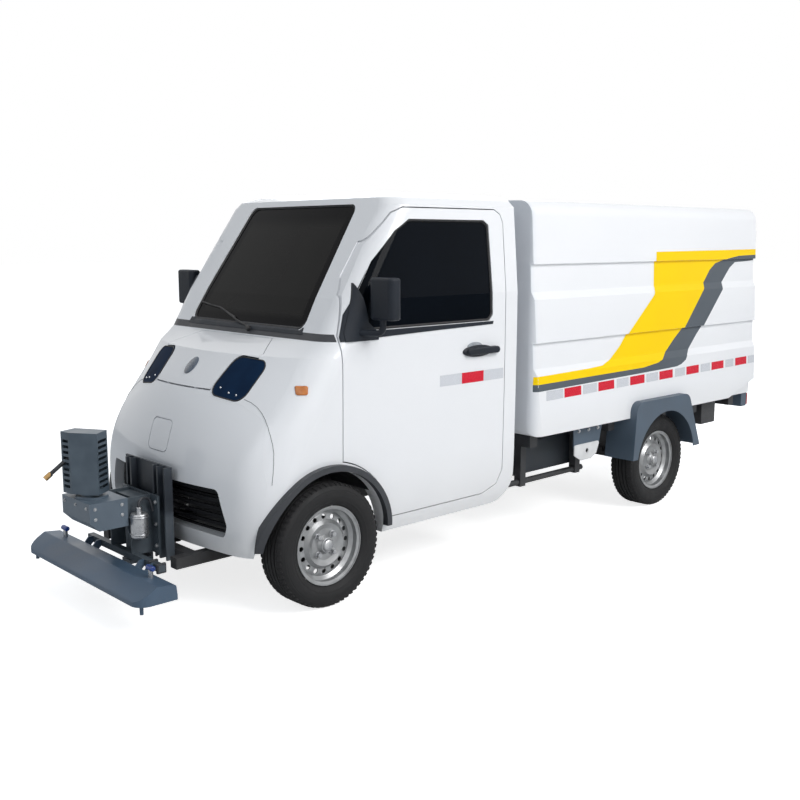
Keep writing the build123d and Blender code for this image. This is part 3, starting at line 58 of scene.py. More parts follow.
# Studio
# A pale floor and room with one broad lamp on the truck's left, a soft one ahead of it and one behind
# on its right.
def soft_lamp(name, place, aim, size, power, colour):
    """A broad soft lamp that points at a place."""
    lamp_data = bpy.data.lights.new(name, "AREA")
    lamp_data.size = size
    lamp_data.energy = power
    lamp_data.color = colour
    lamp = bpy.data.objects.new(name, lamp_data)
    scene.collection.objects.link(lamp)
    lamp.location = place
    lamp.rotation_euler = (Vector(aim) - Vector(place)).to_track_quat("-Z", "Y").to_euler()
    return lamp


soft_lamp("side_lamp", (6.5, 0.2, 6.0), (0, 0, 0.9), 4.5, 460, (1.0, 0.99, 0.975))
soft_lamp("front_lamp", (2.5, -8.0, 5.0), (0, -1.5, 0.6), 4.0, 45, (0.90, 0.95, 1.0))
soft_lamp("back_lamp", (-6.0, 5.0, 5.5), (0, 0.5, 0.8), 5.0, 260, (0.93, 0.96, 1.0))

room = bpy.data.worlds.new("room")
scene.world = room
room.use_nodes = True
tree = room.node_tree
seen = tree.nodes.new("ShaderNodeLightPath")
seen_or_glossy = tree.nodes.new("ShaderNodeMath")
seen_or_glossy.operation = "MAXIMUM"
seen_through = tree.nodes.new("ShaderNodeMath")
seen_through.operation = "MAXIMUM"
tree.links.new(seen.outputs["Is Camera Ray"], seen_or_glossy.inputs[0])
tree.links.new(seen.outputs["Is Glossy Ray"], seen_or_glossy.inputs[1])
tree.links.new(seen_or_glossy.outputs[0], seen_through.inputs[0])
tree.links.new(seen.outputs["Is Transmission Ray"], seen_through.inputs[1])
level = tree.nodes.new("ShaderNodeMapRange")
level.inputs["To Min"].default_value = 0.34
level.inputs["To Max"].default_value = 1.0
tree.links.new(seen_through.outputs[0], level.inputs["Value"])
tint = tree.nodes.new("ShaderNodeMix")
tint.data_type = "RGBA"
tint.inputs["A"].default_value = (0.86, 0.93, 1.0, 1)
tint.inputs["B"].default_value = (1, 1, 1, 1)
tree.links.new(seen_through.outputs[0], tint.inputs["Factor"])
sky = tree.nodes["Background"]
tree.links.new(tint.outputs["Result"], sky.inputs["Color"])
tree.links.new(level.outputs["Result"], sky.inputs["Strength"])

bpy.ops.object.select_all(action="DESELECT")
bpy.ops.mesh.primitive_plane_add(size=120)
floor = bpy.context.object
floor.name = "floor"
paper = bpy.data.materials.new("studio_paper")
paper.use_nodes = True
tree = paper.node_tree
shader = tree.nodes["Principled BSDF"]
shader.inputs["Base Color"].default_value = (0.82, 0.82, 0.82, 1)
shader.inputs["Roughness"].default_value = 0.9
shader.inputs["Emission Color"].default_value = (1, 1, 1, 1)
seen = tree.nodes.new("ShaderNodeLightPath")
glow = tree.nodes.new("ShaderNodeMath")
glow.operation = "MULTIPLY"
glow.inputs[1].default_value = 0.78
tree.links.new(seen.outputs["Is Camera Ray"], glow.inputs[0])
tree.links.new(glow.outputs[0], shader.inputs["Emission Strength"])
floor.data.materials.append(paper)


# Painted body
# Pressed steel panels in white enamel: the cab's shell, roof, doors, lid and flap, the load body and
# its doors. Road film has dulled the paint towards the bottom edges.
def finish(name, tone, second, patch, gloss, fine, relief, metal=0.0, clear=0.0, stretch=(1, 1, 1),
           specular=0.5):
    """A finish in two close tones that drift in patches, with a spread of gloss and a fine relief."""
    material = bpy.data.materials.new(name)
    material.use_nodes = True
    tree = material.node_tree
    shader = tree.nodes["Principled BSDF"]
    shader.inputs["Metallic"].default_value = metal
    shader.inputs["Coat Weight"].default_value = clear
    shader.inputs["Coat Roughness"].default_value = 0.05
    shader.inputs["Specular IOR Level"].default_value = specular
    place = tree.nodes.new("ShaderNodeTexCoord")
    grain = tree.nodes.new("ShaderNodeMapping")
    grain.inputs["Scale"].default_value = stretch
    tree.links.new(place.outputs["Object"], grain.inputs["Vector"])
    patches = tree.nodes.new("ShaderNodeTexNoise")
    patches.name = "patches"
    patches.inputs["Scale"].default_value = patch
    patches.inputs["Detail"].default_value = 2
    tree.links.new(grain.outputs["Vector"], patches.inputs["Vector"])
    tones = tree.nodes.new("ShaderNodeValToRGB")
    tones.name = "tones"
    tones.color_ramp.elements[0].position = 0.22
    tones.color_ramp.elements[0].color = (*second, 1)
    tones.color_ramp.elements[1].position = 0.78
    tones.color_ramp.elements[1].color = (*tone, 1)
    tree.links.new(patches.outputs["Fac"], tones.inputs["Fac"])
    tree.links.new(tones.outputs["Color"], shader.inputs["Base Color"])
    shine = tree.nodes.new("ShaderNodeMapRange")
    shine.inputs["From Min"].default_value = 0.3
    shine.inputs["From Max"].default_value = 0.7
    shine.inputs["To Min"].default_value = gloss[0]
    shine.inputs["To Max"].default_value = gloss[1]
    tree.links.new(patches.outputs["Fac"], shine.inputs["Value"])
    tree.links.new(shine.outputs["Result"], shader.inputs["Roughness"])
    skin = tree.nodes.new("ShaderNodeTexNoise")
    skin.name = "skin"
    skin.inputs["Scale"].default_value = fine
    skin.inputs["Detail"].default_value = 3
    tree.links.new(grain.outputs["Vector"], skin.inputs["Vector"])
    bump = tree.nodes.new("ShaderNodeBump")
    bump.name = "bump"
    bump.inputs["Strength"].default_value = relief
    bump.inputs["Distance"].default_value = 0.002
    tree.links.new(skin.outputs["Fac"], bump.inputs["Height"])
    tree.links.new(bump.outputs["Normal"], shader.inputs["Normal"])
    return material


def colour_by_place(material, axis, low, high, colour, most=1.0, ragged=0.0):
    """Another colour laid in from one place to another along an axis, with a ragged edge."""
    tree = material.node_tree
    shader = tree.nodes["Principled BSDF"]
    before = shader.inputs["Base Color"].links[0].from_socket
    place = tree.nodes.new("ShaderNodeTexCoord")
    parts = tree.nodes.new("ShaderNodeSeparateXYZ")
    tree.links.new(place.outputs["Object"], parts.inputs["Vector"])
    height = tree.nodes.new("ShaderNodeMath")
    height.operation = "MULTIPLY_ADD"
    height.inputs[1].default_value = ragged
    tree.links.new(tree.nodes["patches"].outputs["Fac"], height.inputs[0])
    tree.links.new(parts.outputs[axis], height.inputs[2])
    share = tree.nodes.new("ShaderNodeMapRange")
    share.inputs["From Min"].default_value = low
    share.inputs["From Max"].default_value = high
    share.inputs["To Min"].default_value = most
    share.inputs["To Max"].default_value = 0.0
    tree.links.new(height.outputs[0], share.inputs["Value"])
    blend = tree.nodes.new("ShaderNodeMix")
    blend.data_type = "RGBA"
    blend.inputs["B"].default_value = (*colour, 1)
    tree.links.new(share.outputs["Result"], blend.inputs["Factor"])
    tree.links.new(before, blend.inputs["A"])
    tree.links.new(blend.outputs["Result"], shader.inputs["Base Color"])


def paint_nodes(material, *labels):
    """A finish put on CAD nodes."""
    for label in labels:
        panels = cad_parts[label].data.materials
        panels.clear()
        panels.append(material)


cab_white = finish("cab_white_enamel", (0.83, 0.84, 0.865), (0.81, 0.823, 0.85), 2.2, (0.32, 0.37),
                   240, 0.05, clear=0.5)
colour_by_place(cab_white, "Z", 0.26, 0.62, (0.66, 0.66, 0.65), most=0.4, ragged=0.05)
paint_nodes(cab_white, "cab_shell", "cab_roof", "fascia", "charge_flap", "front_lid", "door_l", "door_r")
body_white = finish("load_body_white", (0.85, 0.86, 0.885), (0.83, 0.842, 0.87), 1.8, (0.32, 0.38),
                    180, 0.08, clear=0.3)
# Blue grey laid on the load body's front wall: partly its own grey, partly painted shade of the narrow gap
# behind the cab.
colour_by_place(body_white, "Y", -0.020, 0.010, (0.70, 0.74, 0.80), most=0.5)
colour_by_place(body_white, "Z", 0.57, 0.75, (0.68, 0.68, 0.67), most=0.35, ragged=0.05)
paint_nodes(body_white, "box_shell", "rear_door_l", "rear_door_r")
bracket_white = finish("bracket_white", (0.74, 0.75, 0.76), (0.62, 0.63, 0.64), 14, (0.4, 0.55),
                       300, 0.15)
paint_nodes(bracket_white, "side_bracket")

# Black trim
# Moulded wheel arch flares and cowl strip, mirrors, handles, grille and the cab's inside trim, in
# grained black plastic.
black_trim = finish("black_trim", (0.042, 0.045, 0.053), (0.026, 0.029, 0.035), 9, (0.42, 0.6), 900, 0.35)
paint_nodes(black_trim, "cab_trim")
mirror_black = finish("mirror_black", (0.014, 0.019, 0.028), (0.009, 0.012, 0.018), 9, (0.4, 0.55),
                      900, 0.3, specular=0.25)
paint_nodes(mirror_black, "door_fittings_l", "door_fittings_r")
deep_black = finish("grille_black", (0.012, 0.013, 0.015), (0.006, 0.006, 0.008), 12, (0.5, 0.7),
                    500, 0.3, specular=0.15)
paint_nodes(deep_black, "front_grille", "cab_bulkhead", "cab_floor")
dash_grey = finish("dash_plastic", (0.045, 0.046, 0.05), (0.03, 0.031, 0.034), 14, (0.55, 0.7), 1400, 0.5)
paint_nodes(dash_grey, "dashboard", "steering_wheel", "seat_base", "side_boxes")


# Glass
# Safety glass drawn almost opaque, its near black being its tint and painted shade of the cab's
# inside. The windscreen has a black printed border that hides its glue.
def glass_tint_and_painted_shade(name, tone, cover):
    """Nearly opaque glass whose dark colour is its tint and painted shade of the inside; a little of the
    inside shows through.
    """
    second = tuple(part * 0.6 for part in tone)
    material = finish(name, tone, second, 1.5, (0.03, 0.07), 60, 0.01, specular=0.05)
    material.node_tree.nodes["Principled BSDF"].inputs["Alpha"].default_value = cover
    return material


# The windscreen's near black is painted shade of the cab's inside as well as its tint.
windscreen_glass = glass_tint_and_painted_shade("windscreen_glass", (0.024, 0.023, 0.022), 0.97)
tree = windscreen_glass.node_tree
place = tree.nodes.new("ShaderNodeTexCoord")
parts = tree.nodes.new("ShaderNodeSeparateXYZ")
tree.links.new(place.outputs["Object"], parts.inputs["Vector"])
away = tree.nodes.new("ShaderNodeMath")
away.operation = "ABSOLUTE"
tree.links.new(parts.outputs["X"], away.inputs[0])
slanted = tree.nodes.new("ShaderNodeMath")
slanted.operation = "MULTIPLY_ADD"
slanted.inputs[1].default_value = 0.0848
tree.links.new(parts.outputs["Z"], slanted.inputs[0])
tree.links.new(away.outputs[0], slanted.inputs[2])
near_side = tree.nodes.new("ShaderNodeMapRange")
near_side.inputs["From Min"].default_value = 0.512
near_side.inputs["From Max"].default_value = 0.520
tree.links.new(slanted.outputs[0], near_side.inputs["Value"])
near_top = tree.nodes.new("ShaderNodeMapRange")
near_top.inputs["From Min"].default_value = 1.665
near_top.inputs["From Max"].default_value = 1.715
tree.links.new(parts.outputs["Z"], near_top.inputs["Value"])
near_foot = tree.nodes.new("ShaderNodeMapRange")
near_foot.inputs["From Min"].default_value = 1.275
near_foot.inputs["From Max"].default_value = 1.245
tree.links.new(parts.outputs["Z"], near_foot.inputs["Value"])
ends = tree.nodes.new("ShaderNodeMath")
ends.operation = "MAXIMUM"
tree.links.new(near_top.outputs["Result"], ends.inputs[0])
tree.links.new(near_foot.outputs["Result"], ends.inputs[1])
border = tree.nodes.new("ShaderNodeMath")
border.operation = "MAXIMUM"
tree.links.new(ends.outputs[0], border.inputs[0])
tree.links.new(near_side.outputs["Result"], border.inputs[1])
printed = tree.nodes.new("ShaderNodeMix")
printed.data_type = "RGBA"
printed.inputs["B"].default_value = (0.004, 0.004, 0.005, 1)
tree.links.new(border.outputs[0], printed.inputs["Factor"])
tree.links.new(tree.nodes["tones"].outputs["Color"], printed.inputs["A"])
tree.links.new(printed.outputs["Result"], tree.nodes["Principled BSDF"].inputs["Base Color"])
paint_nodes(windscreen_glass, "windscreen")
# The door glass's near black is painted shade of the cab's inside as well as its tint.
door_glass = glass_tint_and_painted_shade("door_glass", (0.0035, 0.0055, 0.009), 0.97)
paint_nodes(door_glass, "door_glass_l", "door_glass_r")

# Chassis and running gear
# Welded steel frame, axle, springs and knuckles in black chassis paint under a film of road dust,
# with the slate blue fenders, beam and battery housings bolted on.
chassis_black = finish("chassis_paint", (0.034, 0.036, 0.040), (0.016, 0.017, 0.020), 10, (0.45, 0.65),
                       260, 0.3)
colour_by_place(chassis_black, "Z", 0.15, 0.5, (0.09, 0.085, 0.078), most=0.5, ragged=0.3)
paint_nodes(chassis_black, "frame", "front_suspension", "rear_axle", "leaf_springs", "side_rail",
            "front_frame", "knuckle_l", "knuckle_r")
slate_paint = finish("slate_paint", (0.076, 0.108, 0.148), (0.056, 0.081, 0.112), 5, (0.38, 0.52),
                     220, 0.18)
colour_by_place(slate_paint, "Z", 0.2, 0.45, (0.15, 0.15, 0.15), most=0.3, ragged=0.3)
paint_nodes(slate_paint, "side_hanger", "rear_fenders", "rear_beam")
battery_dark = finish("battery_dark", (0.020, 0.027, 0.036), (0.012, 0.016, 0.022), 6, (0.45, 0.6),
                      240, 0.2)
paint_nodes(battery_dark, "battery_block")
mast_slate = finish("mast_slate", (0.030, 0.038, 0.050), (0.019, 0.024, 0.032), 8, (0.4, 0.55), 260, 0.2)
colour_by_place(mast_slate, "Z", 0.395, 0.425, (0.085, 0.102, 0.122), most=0.9)
paint_nodes(mast_slate, "mast", "lift_cylinder")

# Washing attachment
# Folded and welded sheet in grey blue hammer paint: the spray hood, the carriage, the tower and its
# base. The lift rod, spray pipe and canister are zinc plated, and the lance has a brass tip.
hammer_blue = finish("hood_grey_blue", (0.072, 0.116, 0.176), (0.052, 0.088, 0.138), 7, (0.33, 0.48),
                     160, 0.16)
paint_nodes(hammer_blue, "spray_hood")
base_grey = finish("base_grey", (0.120, 0.155, 0.195), (0.088, 0.118, 0.152), 7, (0.35, 0.5), 160, 0.16)
paint_nodes(base_grey, "tower_base")
carriage_grey = finish("carriage_grey", (0.085, 0.108, 0.128), (0.050, 0.062, 0.076), 9, (0.35, 0.5),
                       200, 0.2)
paint_nodes(carriage_grey, "carriage")
tower_grey = finish("tower_sheet", (0.100, 0.132, 0.165), (0.066, 0.090, 0.116), 11, (0.3, 0.45),
                    260, 0.12, metal=0.2)
paint_nodes(tower_grey, "tower_housing")
zinc = finish("zinc_steel", (0.56, 0.57, 0.58), (0.36, 0.37, 0.39), 30, (0.22, 0.4), 500, 0.15,
              metal=0.9)
paint_nodes(zinc, "lift_rod", "spray_pipe", "canister")
lance_metal = finish("lance_metal", (0.05, 0.052, 0.056), (0.03, 0.032, 0.036), 30, (0.28, 0.4),
                     600, 0.12, metal=0.7)
colour_by_place(lance_metal, "Y", -2.2805, -2.2790, (0.46, 0.29, 0.12))
paint_nodes(lance_metal, "lance")

# Lamps, tank and pump
# Dark blue headlamp covers, ribbed red rear lamps, a moulded water tank and the pump's housing.
lamp_cover = finish("headlamp_cover", (0.006, 0.027, 0.072), (0.004, 0.016, 0.044), 9, (0.12, 0.18),
                    90, 0.03, clear=0.08, specular=0.0)
paint_nodes(lamp_cover, "headlamps")
red_lens = finish("red_lens", (0.42, 0.012, 0.01), (0.26, 0.006, 0.006), 20, (0.12, 0.2), 700, 0.4,
                  clear=0.6, stretch=(1, 1, 0.05))
paint_nodes(red_lens, "rear_lamps")
tank_plastic = finish("tank_plastic", (0.60, 0.63, 0.64), (0.54, 0.57, 0.58), 4, (0.45, 0.6), 260, 0.25)
paint_nodes(tank_plastic, "water_tank")
pump_blue = finish("pump_enamel", (0.06, 0.085, 0.12), (0.04, 0.055, 0.08), 12, (0.35, 0.5), 240, 0.25)
paint_nodes(pump_blue, "pump_block")

# Rims
# Pressed steel wheels with a ring of vent holes, in silver paint. Brake dust has darkened the paint in
# patches.
rim_silver = finish("rim_silver", (0.40, 0.41, 0.42), (0.28, 0.285, 0.29), 22, (0.28, 0.42), 420, 0.14,
                    metal=0.75)
paint_nodes(rim_silver, "rim_front_l", "rim_front_r", "rim_rear_l", "rim_rear_r")


# Tyres
# Ribbed road tyres. The section from bead to tread is spun round the axle and its shoulders carry
# lugs with cuts between them.
def pick(piece):
    """Makes a piece the only one selected."""
    bpy.ops.object.select_all(action="DESELECT")
    piece.select_set(True)
    bpy.context.view_layer.objects.active = piece


def put_down(piece, material, body):
    """Fixes a piece's place in its mesh, gives it its finish and the body it rides on."""
    pick(piece)
    bpy.ops.object.transform_apply(location=True, rotation=True, scale=True)
    piece.data.materials.clear()
    piece.data.materials.append(material)
    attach(piece, body)
    return piece


def twin(piece, name):
    """A copy of a piece with its own mesh."""
    copy = piece.copy()
    copy.data = piece.data.copy()
    copy.name = name
    scene.collection.objects.link(copy)
    return copy


def ease_edges(size, steps):
    """Rounds every edge of the piece just made."""
    bpy.ops.object.mode_set(mode="EDIT")
    bpy.ops.mesh.select_all(action="SELECT")
    bpy.ops.mesh.bevel(offset=size, segments=steps, affect="EDGES")
    bpy.ops.object.mode_set(mode="OBJECT")


def welded(pieces, name):
    """Pieces joined into one."""
    bpy.ops.object.select_all(action="DESELECT")
    for piece in pieces:
        piece.select_set(True)
    bpy.context.view_layer.objects.active = pieces[0]
    bpy.ops.object.join()
    pieces[0].name = name
    return pieces[0]


tread_half = [(0.0, 0.2804), (0.0090, 0.2804), (0.0098, 0.2742), (0.0152, 0.2742), (0.0160, 0.2802),
              (0.0315, 0.2795), (0.0323, 0.2738), (0.0377, 0.2736), (0.0385, 0.2788), (0.0540, 0.2768),
              (0.0625, 0.2738),
              (0.0700, 0.2690), (0.0752, 0.2625), (0.0786, 0.2540), (0.0796, 0.2530), (0.0800, 0.2470),
              (0.0814, 0.2455), (0.0823, 0.2350), (0.0823, 0.2240), (0.0812, 0.2150), (0.0796, 0.2120),
              (0.0790, 0.2040), (0.0770, 0.2020), (0.0735, 0.1925), (0.0680, 0.1850), (0.0612, 0.1806),
              (0.0585, 0.1796)]
tread = [(-across, radius) for across, radius in reversed(tread_half[1:])] + tread_half
bpy.ops.object.select_all(action="DESELECT")
bpy.ops.mesh.primitive_circle_add(vertices=len(tread))
tyre = bpy.context.object
tyre.name = "tyre_left"
for vertex, (across, radius) in zip(tyre.data.vertices, tread):
    vertex.co = (across, 0, radius)
bpy.ops.object.mode_set(mode="EDIT")
bpy.ops.mesh.select_all(action="SELECT")
bpy.ops.mesh.spin(steps=96, angle=2 * math.pi, center=(0, 0, 0), axis=(1, 0, 0))
bpy.ops.mesh.select_all(action="SELECT")
bpy.ops.mesh.remove_doubles(threshold=0.0002)
bpy.ops.mesh.normals_make_consistent(inside=False)
bpy.ops.object.mode_set(mode="OBJECT")
bpy.ops.object.shade_smooth_by_angle(angle=math.radians(35))
lug_count = 62
lugs = []
lug_rows = [(0.0625, 0.018, 0.2767, 22), (0.0462, 0.0105, 0.2800, 4)]
for side in (-1, 1):
    for row_place, row_width, row_high, row_lean in lug_rows:
        bpy.ops.object.select_all(action="DESELECT")
        bpy.ops.mesh.primitive_cube_add(size=1, location=(side * row_place, 0, row_high - 0.004))
        lug = bpy.context.object
        lug.scale = (row_width, 0.0165, 0.008)
        lug.rotation_euler = (0, side * math.radians(row_lean), side * math.radians(12))
        bpy.ops.object.transform_apply(location=True, rotation=True, scale=True)
        ease_edges(0.0012, 1)
        for index in range(lug_count):
            copy = twin(lug, "lug")
            copy.rotation_euler = (2 * math.pi * (index + 0.5 * (side > 0)) / lug_count, 0, 0)
            lugs.append(copy)
        bpy.data.objects.remove(lug)
tyre = welded([tyre, *lugs], "tyre_left")
bpy.ops.object.transform_apply(location=True, rotation=True, scale=True)
rubber = finish("tyre_rubber", (0.017, 0.017, 0.018), (0.009, 0.009, 0.010), 16, (0.55, 0.75), 700, 0.4,
                specular=0.3)
colour_by_place(rubber, "Z", 0.0, 0.05, (0.05, 0.046, 0.042), most=0.5, ragged=0.04)
wheel_out = 0.6525
wheel_high = 0.2805
wheel_aft = {"front": -1.3825, "rear": 1.1775}
for axle in ("front", "rear"):
    for side, sign in (("l", 1), ("r", -1)):
        mounted = twin(tyre, "treaded_tyre_" + axle + "_" + side)
        mounted.location = (wheel_out * sign, wheel_aft[axle], wheel_high)
        put_down(mounted, rubber, "wheel_" + axle + "_" + side)
        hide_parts("tyre_" + axle + "_" + side)
bpy.data.objects.remove(tyre)

# Wheel nuts and hub caps
# Four zinc plated taper nuts hold each wheel, round a pressed dust cap. Each nut sits in a round seat.
sideways = (0, math.pi / 2, 0)
bolt_circle = 0.05715
nuts = []
for index in range(4):
    angle = math.radians(45 + 90 * index)
    aft, up = bolt_circle * math.cos(angle), bolt_circle * math.sin(angle)
    bpy.ops.object.select_all(action="DESELECT")
    bpy.ops.mesh.primitive_cylinder_add(vertices=6, radius=0.0112, depth=0.018, rotation=sideways,
                                        location=(0.042, aft, up))
    nut = bpy.context.object
    ease_edges(0.0014, 2)
    bpy.ops.mesh.primitive_torus_add(major_radius=0.0135, minor_radius=0.0032, major_segments=28,
                                     minor_segments=8, rotation=sideways, location=(0.0335, aft, up))
    nuts += [nut, bpy.context.object]
bpy.ops.mesh.primitive_uv_sphere_add(segments=32, ring_count=16, radius=0.026, location=(0.057, 0, 0))
cap = bpy.context.object
cap.scale = (0.34, 1, 1)
bpy.ops.object.shade_smooth()
bpy.ops.mesh.primitive_torus_add(major_radius=0.031, minor_radius=0.003, major_segments=40,
                                 minor_segments=8, rotation=sideways, location=(0.0485, 0, 0))
ring = bpy.context.object
hub_set = welded([cap, ring, *nuts], "hub_set")
bpy.ops.object.transform_apply(location=True, rotation=True, scale=True)
for axle in ("front", "rear"):
    for side, sign in (("l", 1), ("r", -1)):
        fitted = twin(hub_set, "wheel_nuts_" + axle + "_" + side)
        fitted.rotation_euler = (0, 0, 0 if sign > 0 else math.pi)
        fitted.location = (wheel_out * sign, wheel_aft[axle], wheel_high)
        put_down(fitted, zinc, "wheel_" + axle + "_" + side)
bpy.data.objects.remove(hub_set)


# Window seals and lamp bezels
# Extruded rubber round the windscreen and the door glass, and a thin moulded bezel round each
# headlamp. Each lies along the edge of its opening.
def sheet_form(name, outline, corner=0.0):
    """A flat sheet with an outline in its own XY plane, its corners rounded."""
    bpy.ops.object.select_all(action="DESELECT")
    bpy.ops.mesh.primitive_circle_add(vertices=len(outline), fill_type="NGON")
    piece = bpy.context.object
    piece.name = name
    for vertex, point in zip(piece.data.vertices, outline):
        vertex.co = (point[0], point[1], 0)
    if corner:
        bpy.ops.object.mode_set(mode="EDIT")
        bpy.ops.mesh.select_all(action="SELECT")
        bpy.ops.mesh.bevel(offset=corner, segments=5, affect="VERTICES")
        bpy.ops.object.mode_set(mode="OBJECT")
    return piece


def lay_on(piece, labels, view, lift):
    """Lays a flat piece on nodes, seen from the front or the left, and lifts it off them."""
    way = Vector((0, 1, 0)) if view == "front" else Vector((-1, 0, 0))
    for vertex in piece.data.vertices:
        across, up = vertex.co.x, vertex.co.y
        start = Vector((across, -4, up)) if view == "front" else Vector((4, across, up))
        hits = [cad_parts[label].ray_cast(start, way) for label in labels]
        reached = [hit[1] for hit in hits if hit[0]]
        nearest = min(reached, key=lambda point: (point - start).length)
        vertex.co = nearest - way * lift
    return piece


def strip_round(name, outline, corner, thick, labels, view, lift=0.0):
    """A round rubber strip along a rounded outline, lying on nodes."""
    strip = sheet_form(name, outline, corner)
    bpy.ops.object.mode_set(mode="EDIT")
    bpy.ops.mesh.select_all(action="SELECT")
    bpy.ops.mesh.delete(type="ONLY_FACE")
    bpy.ops.mesh.select_all(action="SELECT")
    bpy.ops.mesh.subdivide(number_cuts=3)
    bpy.ops.object.mode_set(mode="OBJECT")
    lay_on(strip, labels, view, lift)
    bpy.ops.object.convert(target="CURVE")
    strip = bpy.context.object
    strip.data.bevel_depth = thick
    strip.data.bevel_resolution = 3
    bpy.ops.object.convert(target="MESH")
    bpy.ops.object.shade_smooth()
    return bpy.context.object


def right_hand(piece, name):
    """The same piece for the truck's right side."""
    copy = twin(piece, name)
    pick(copy)
    copy.scale = (-1, 1, 1)
    bpy.ops.object.transform_apply(location=True, rotation=True, scale=True)
    bpy.ops.object.mode_set(mode="EDIT")
    bpy.ops.mesh.select_all(action="SELECT")
    bpy.ops.mesh.flip_normals()
    bpy.ops.object.mode_set(mode="OBJECT")
    return copy


def both_sides(piece, name, material, on_door=False):
    """A left piece and its right hand copy, put down on the chassis body or on the cab's doors."""
    copy = right_hand(piece, name + "_r")
    put_down(piece, material, "cab_door_l" if on_door else "chassis")
    put_down(copy, material, "cab_door_r" if on_door else "chassis")
    return copy


seal_rubber = finish("seal_rubber", (0.014, 0.014, 0.016), (0.008, 0.008, 0.009), 40, (0.5, 0.7), 1200, 0.3)
screen_outline = [(-0.464, 1.212), (0.464, 1.212), (0.417, 1.766), (-0.417, 1.766)]
screen_seal = strip_round("windscreen_seal", screen_outline, 0.045, 0.0065, ["windscreen"], "front",
                          lift=0.001)
put_down(screen_seal, seal_rubber, "chassis")
back = wheel_aft["front"]
window_outline = [(0.134, 1.2175), (0.1965, 1.352), (0.3015, 1.511), (0.4335, 1.646), (0.518, 1.697),
                  (1.019, 1.697), (1.049, 1.676), (1.061, 1.242), (1.038, 1.2175)]
window_seal = strip_round("window_seal_l", [(aft + back, height) for aft, height in window_outline],
                          0.012, 0.0065, ["door_glass_l", "door_l"], "left", lift=0.001)
both_sides(window_seal, "window_seal", seal_rubber, on_door=True)
lamp_outline = [(0.264, 1.094), (0.456, 1.081), (0.434, 0.911), (0.236, 0.934)]
bezel = strip_round("lamp_bezel_l", lamp_outline, 0.044, 0.0028, ["headlamps"], "front")
both_sides(bezel, "lamp_bezel", seal_rubber)

# Headlamp bulbs
# Behind each dark cover three small lamps shine through as bright points. They are modelled as
# chromed domes set into the cover.
chrome = finish("chrome", (0.75, 0.77, 0.80), (0.62, 0.64, 0.68), 60, (0.06, 0.14), 500, 0.05, metal=1.0)
bulbs = []
for across, up in ((0.285, 0.962), (0.345, 0.945), (0.390, 0.938)):
    spot = sheet_form("spot", [(across, up), (across + 0.001, up), (across, up + 0.001)])
    lay_on(spot, ["headlamps"], "front", 0.0)
    centre = spot.data.vertices[0].co.copy()
    bpy.data.objects.remove(spot)
    bpy.ops.mesh.primitive_uv_sphere_add(segments=20, ring_count=10, radius=0.0055, location=centre)
    bulb = bpy.context.object
    bulb.scale = (1, 0.55, 1)
    bpy.ops.object.shade_smooth()
    bulbs.append(bulb)
bulb_set = welded(bulbs, "lamp_bulbs_l")
bpy.ops.object.transform_apply(location=True, rotation=True, scale=True)
both_sides(bulb_set, "lamp_bulbs", chrome)


# Badge, marker lamps and handle cups
# A blank round badge on the lid, an amber marker lamp on each front corner, and the plate and the
# cup of each door handle. All are small moulded parts that stand a few millimetres off the panel.
def raised(piece, way, rim, height):
    """A laid sheet given a thickness with a stepped, rounded face."""
    pick(piece)
    bpy.ops.object.mode_set(mode="EDIT")
    bpy.ops.mesh.select_all(action="SELECT")
    bpy.ops.mesh.extrude_region_move(TRANSFORM_OT_translate={"value": Vector(way) * height * 0.6})
    bpy.ops.mesh.inset(thickness=rim)
    bpy.ops.transform.translate(value=Vector(way) * height * 0.4)
    bpy.ops.mesh.select_all(action="SELECT")
    bpy.ops.mesh.normals_make_consistent(inside=False)
    bpy.ops.object.mode_set(mode="OBJECT")
    bpy.ops.object.shade_smooth_by_angle(angle=math.radians(40))
    return piece


def oval(place, height, half_long, half_high, step):
    """The outline of an oval, with a point every so many degrees."""
    angles = [math.radians(angle) for angle in range(0, 360, step)]
    return [(place + half_long * math.cos(angle), height + half_high * math.sin(angle)) for angle in angles]


badge = sheet_form("lid_badge", oval(0, 1.034, 0.036, 0.036, 10))
raised(lay_on(badge, ["front_lid"], "front", -0.001), (0, -1, 0.3), 0.004, 0.005)
badge_blue = finish("badge_blue", (0.045, 0.075, 0.12), (0.03, 0.05, 0.085), 30, (0.2, 0.32), 500, 0.1,
                    clear=0.4)
put_down(badge, badge_blue, "front_lid")
amber = finish("amber_lens", (0.62, 0.19, 0.012), (0.46, 0.12, 0.008), 40, (0.12, 0.2), 900, 0.35, clear=0.6)
marker_outline = [(-0.116, 0.954), (-0.076, 0.954), (-0.066, 0.991), (-0.106, 0.991)]
marker = sheet_form("marker_lamp_l", [(aft + back, height) for aft, height in marker_outline], 0.007)
raised(lay_on(marker, ["cab_shell"], "left", -0.001), (1, -0.3, 0), 0.004, 0.009)
both_sides(marker, "marker_lamp", amber)
cup = sheet_form("handle_cup_l", oval(0.935 + back, 1.094, 0.052, 0.019, 15))
raised(lay_on(cup, ["door_l"], "left", -0.001), (1, 0, 0), 0.006, 0.006)
cup_grey = finish("cup_grey", (0.34, 0.36, 0.39), (0.24, 0.26, 0.29), 40, (0.25, 0.4), 700, 0.15)
both_sides(cup, "handle_cup", cup_grey, on_door=True)
pull = sheet_form("handle_plate_l", oval(0.955 + back, 1.069, 0.106, 0.029, 12))
raised(lay_on(pull, ["door_l"], "left", -0.001), (1, 0, 0), 0.008, 0.014)
both_sides(pull, "handle_plate", mirror_black, on_door=True)


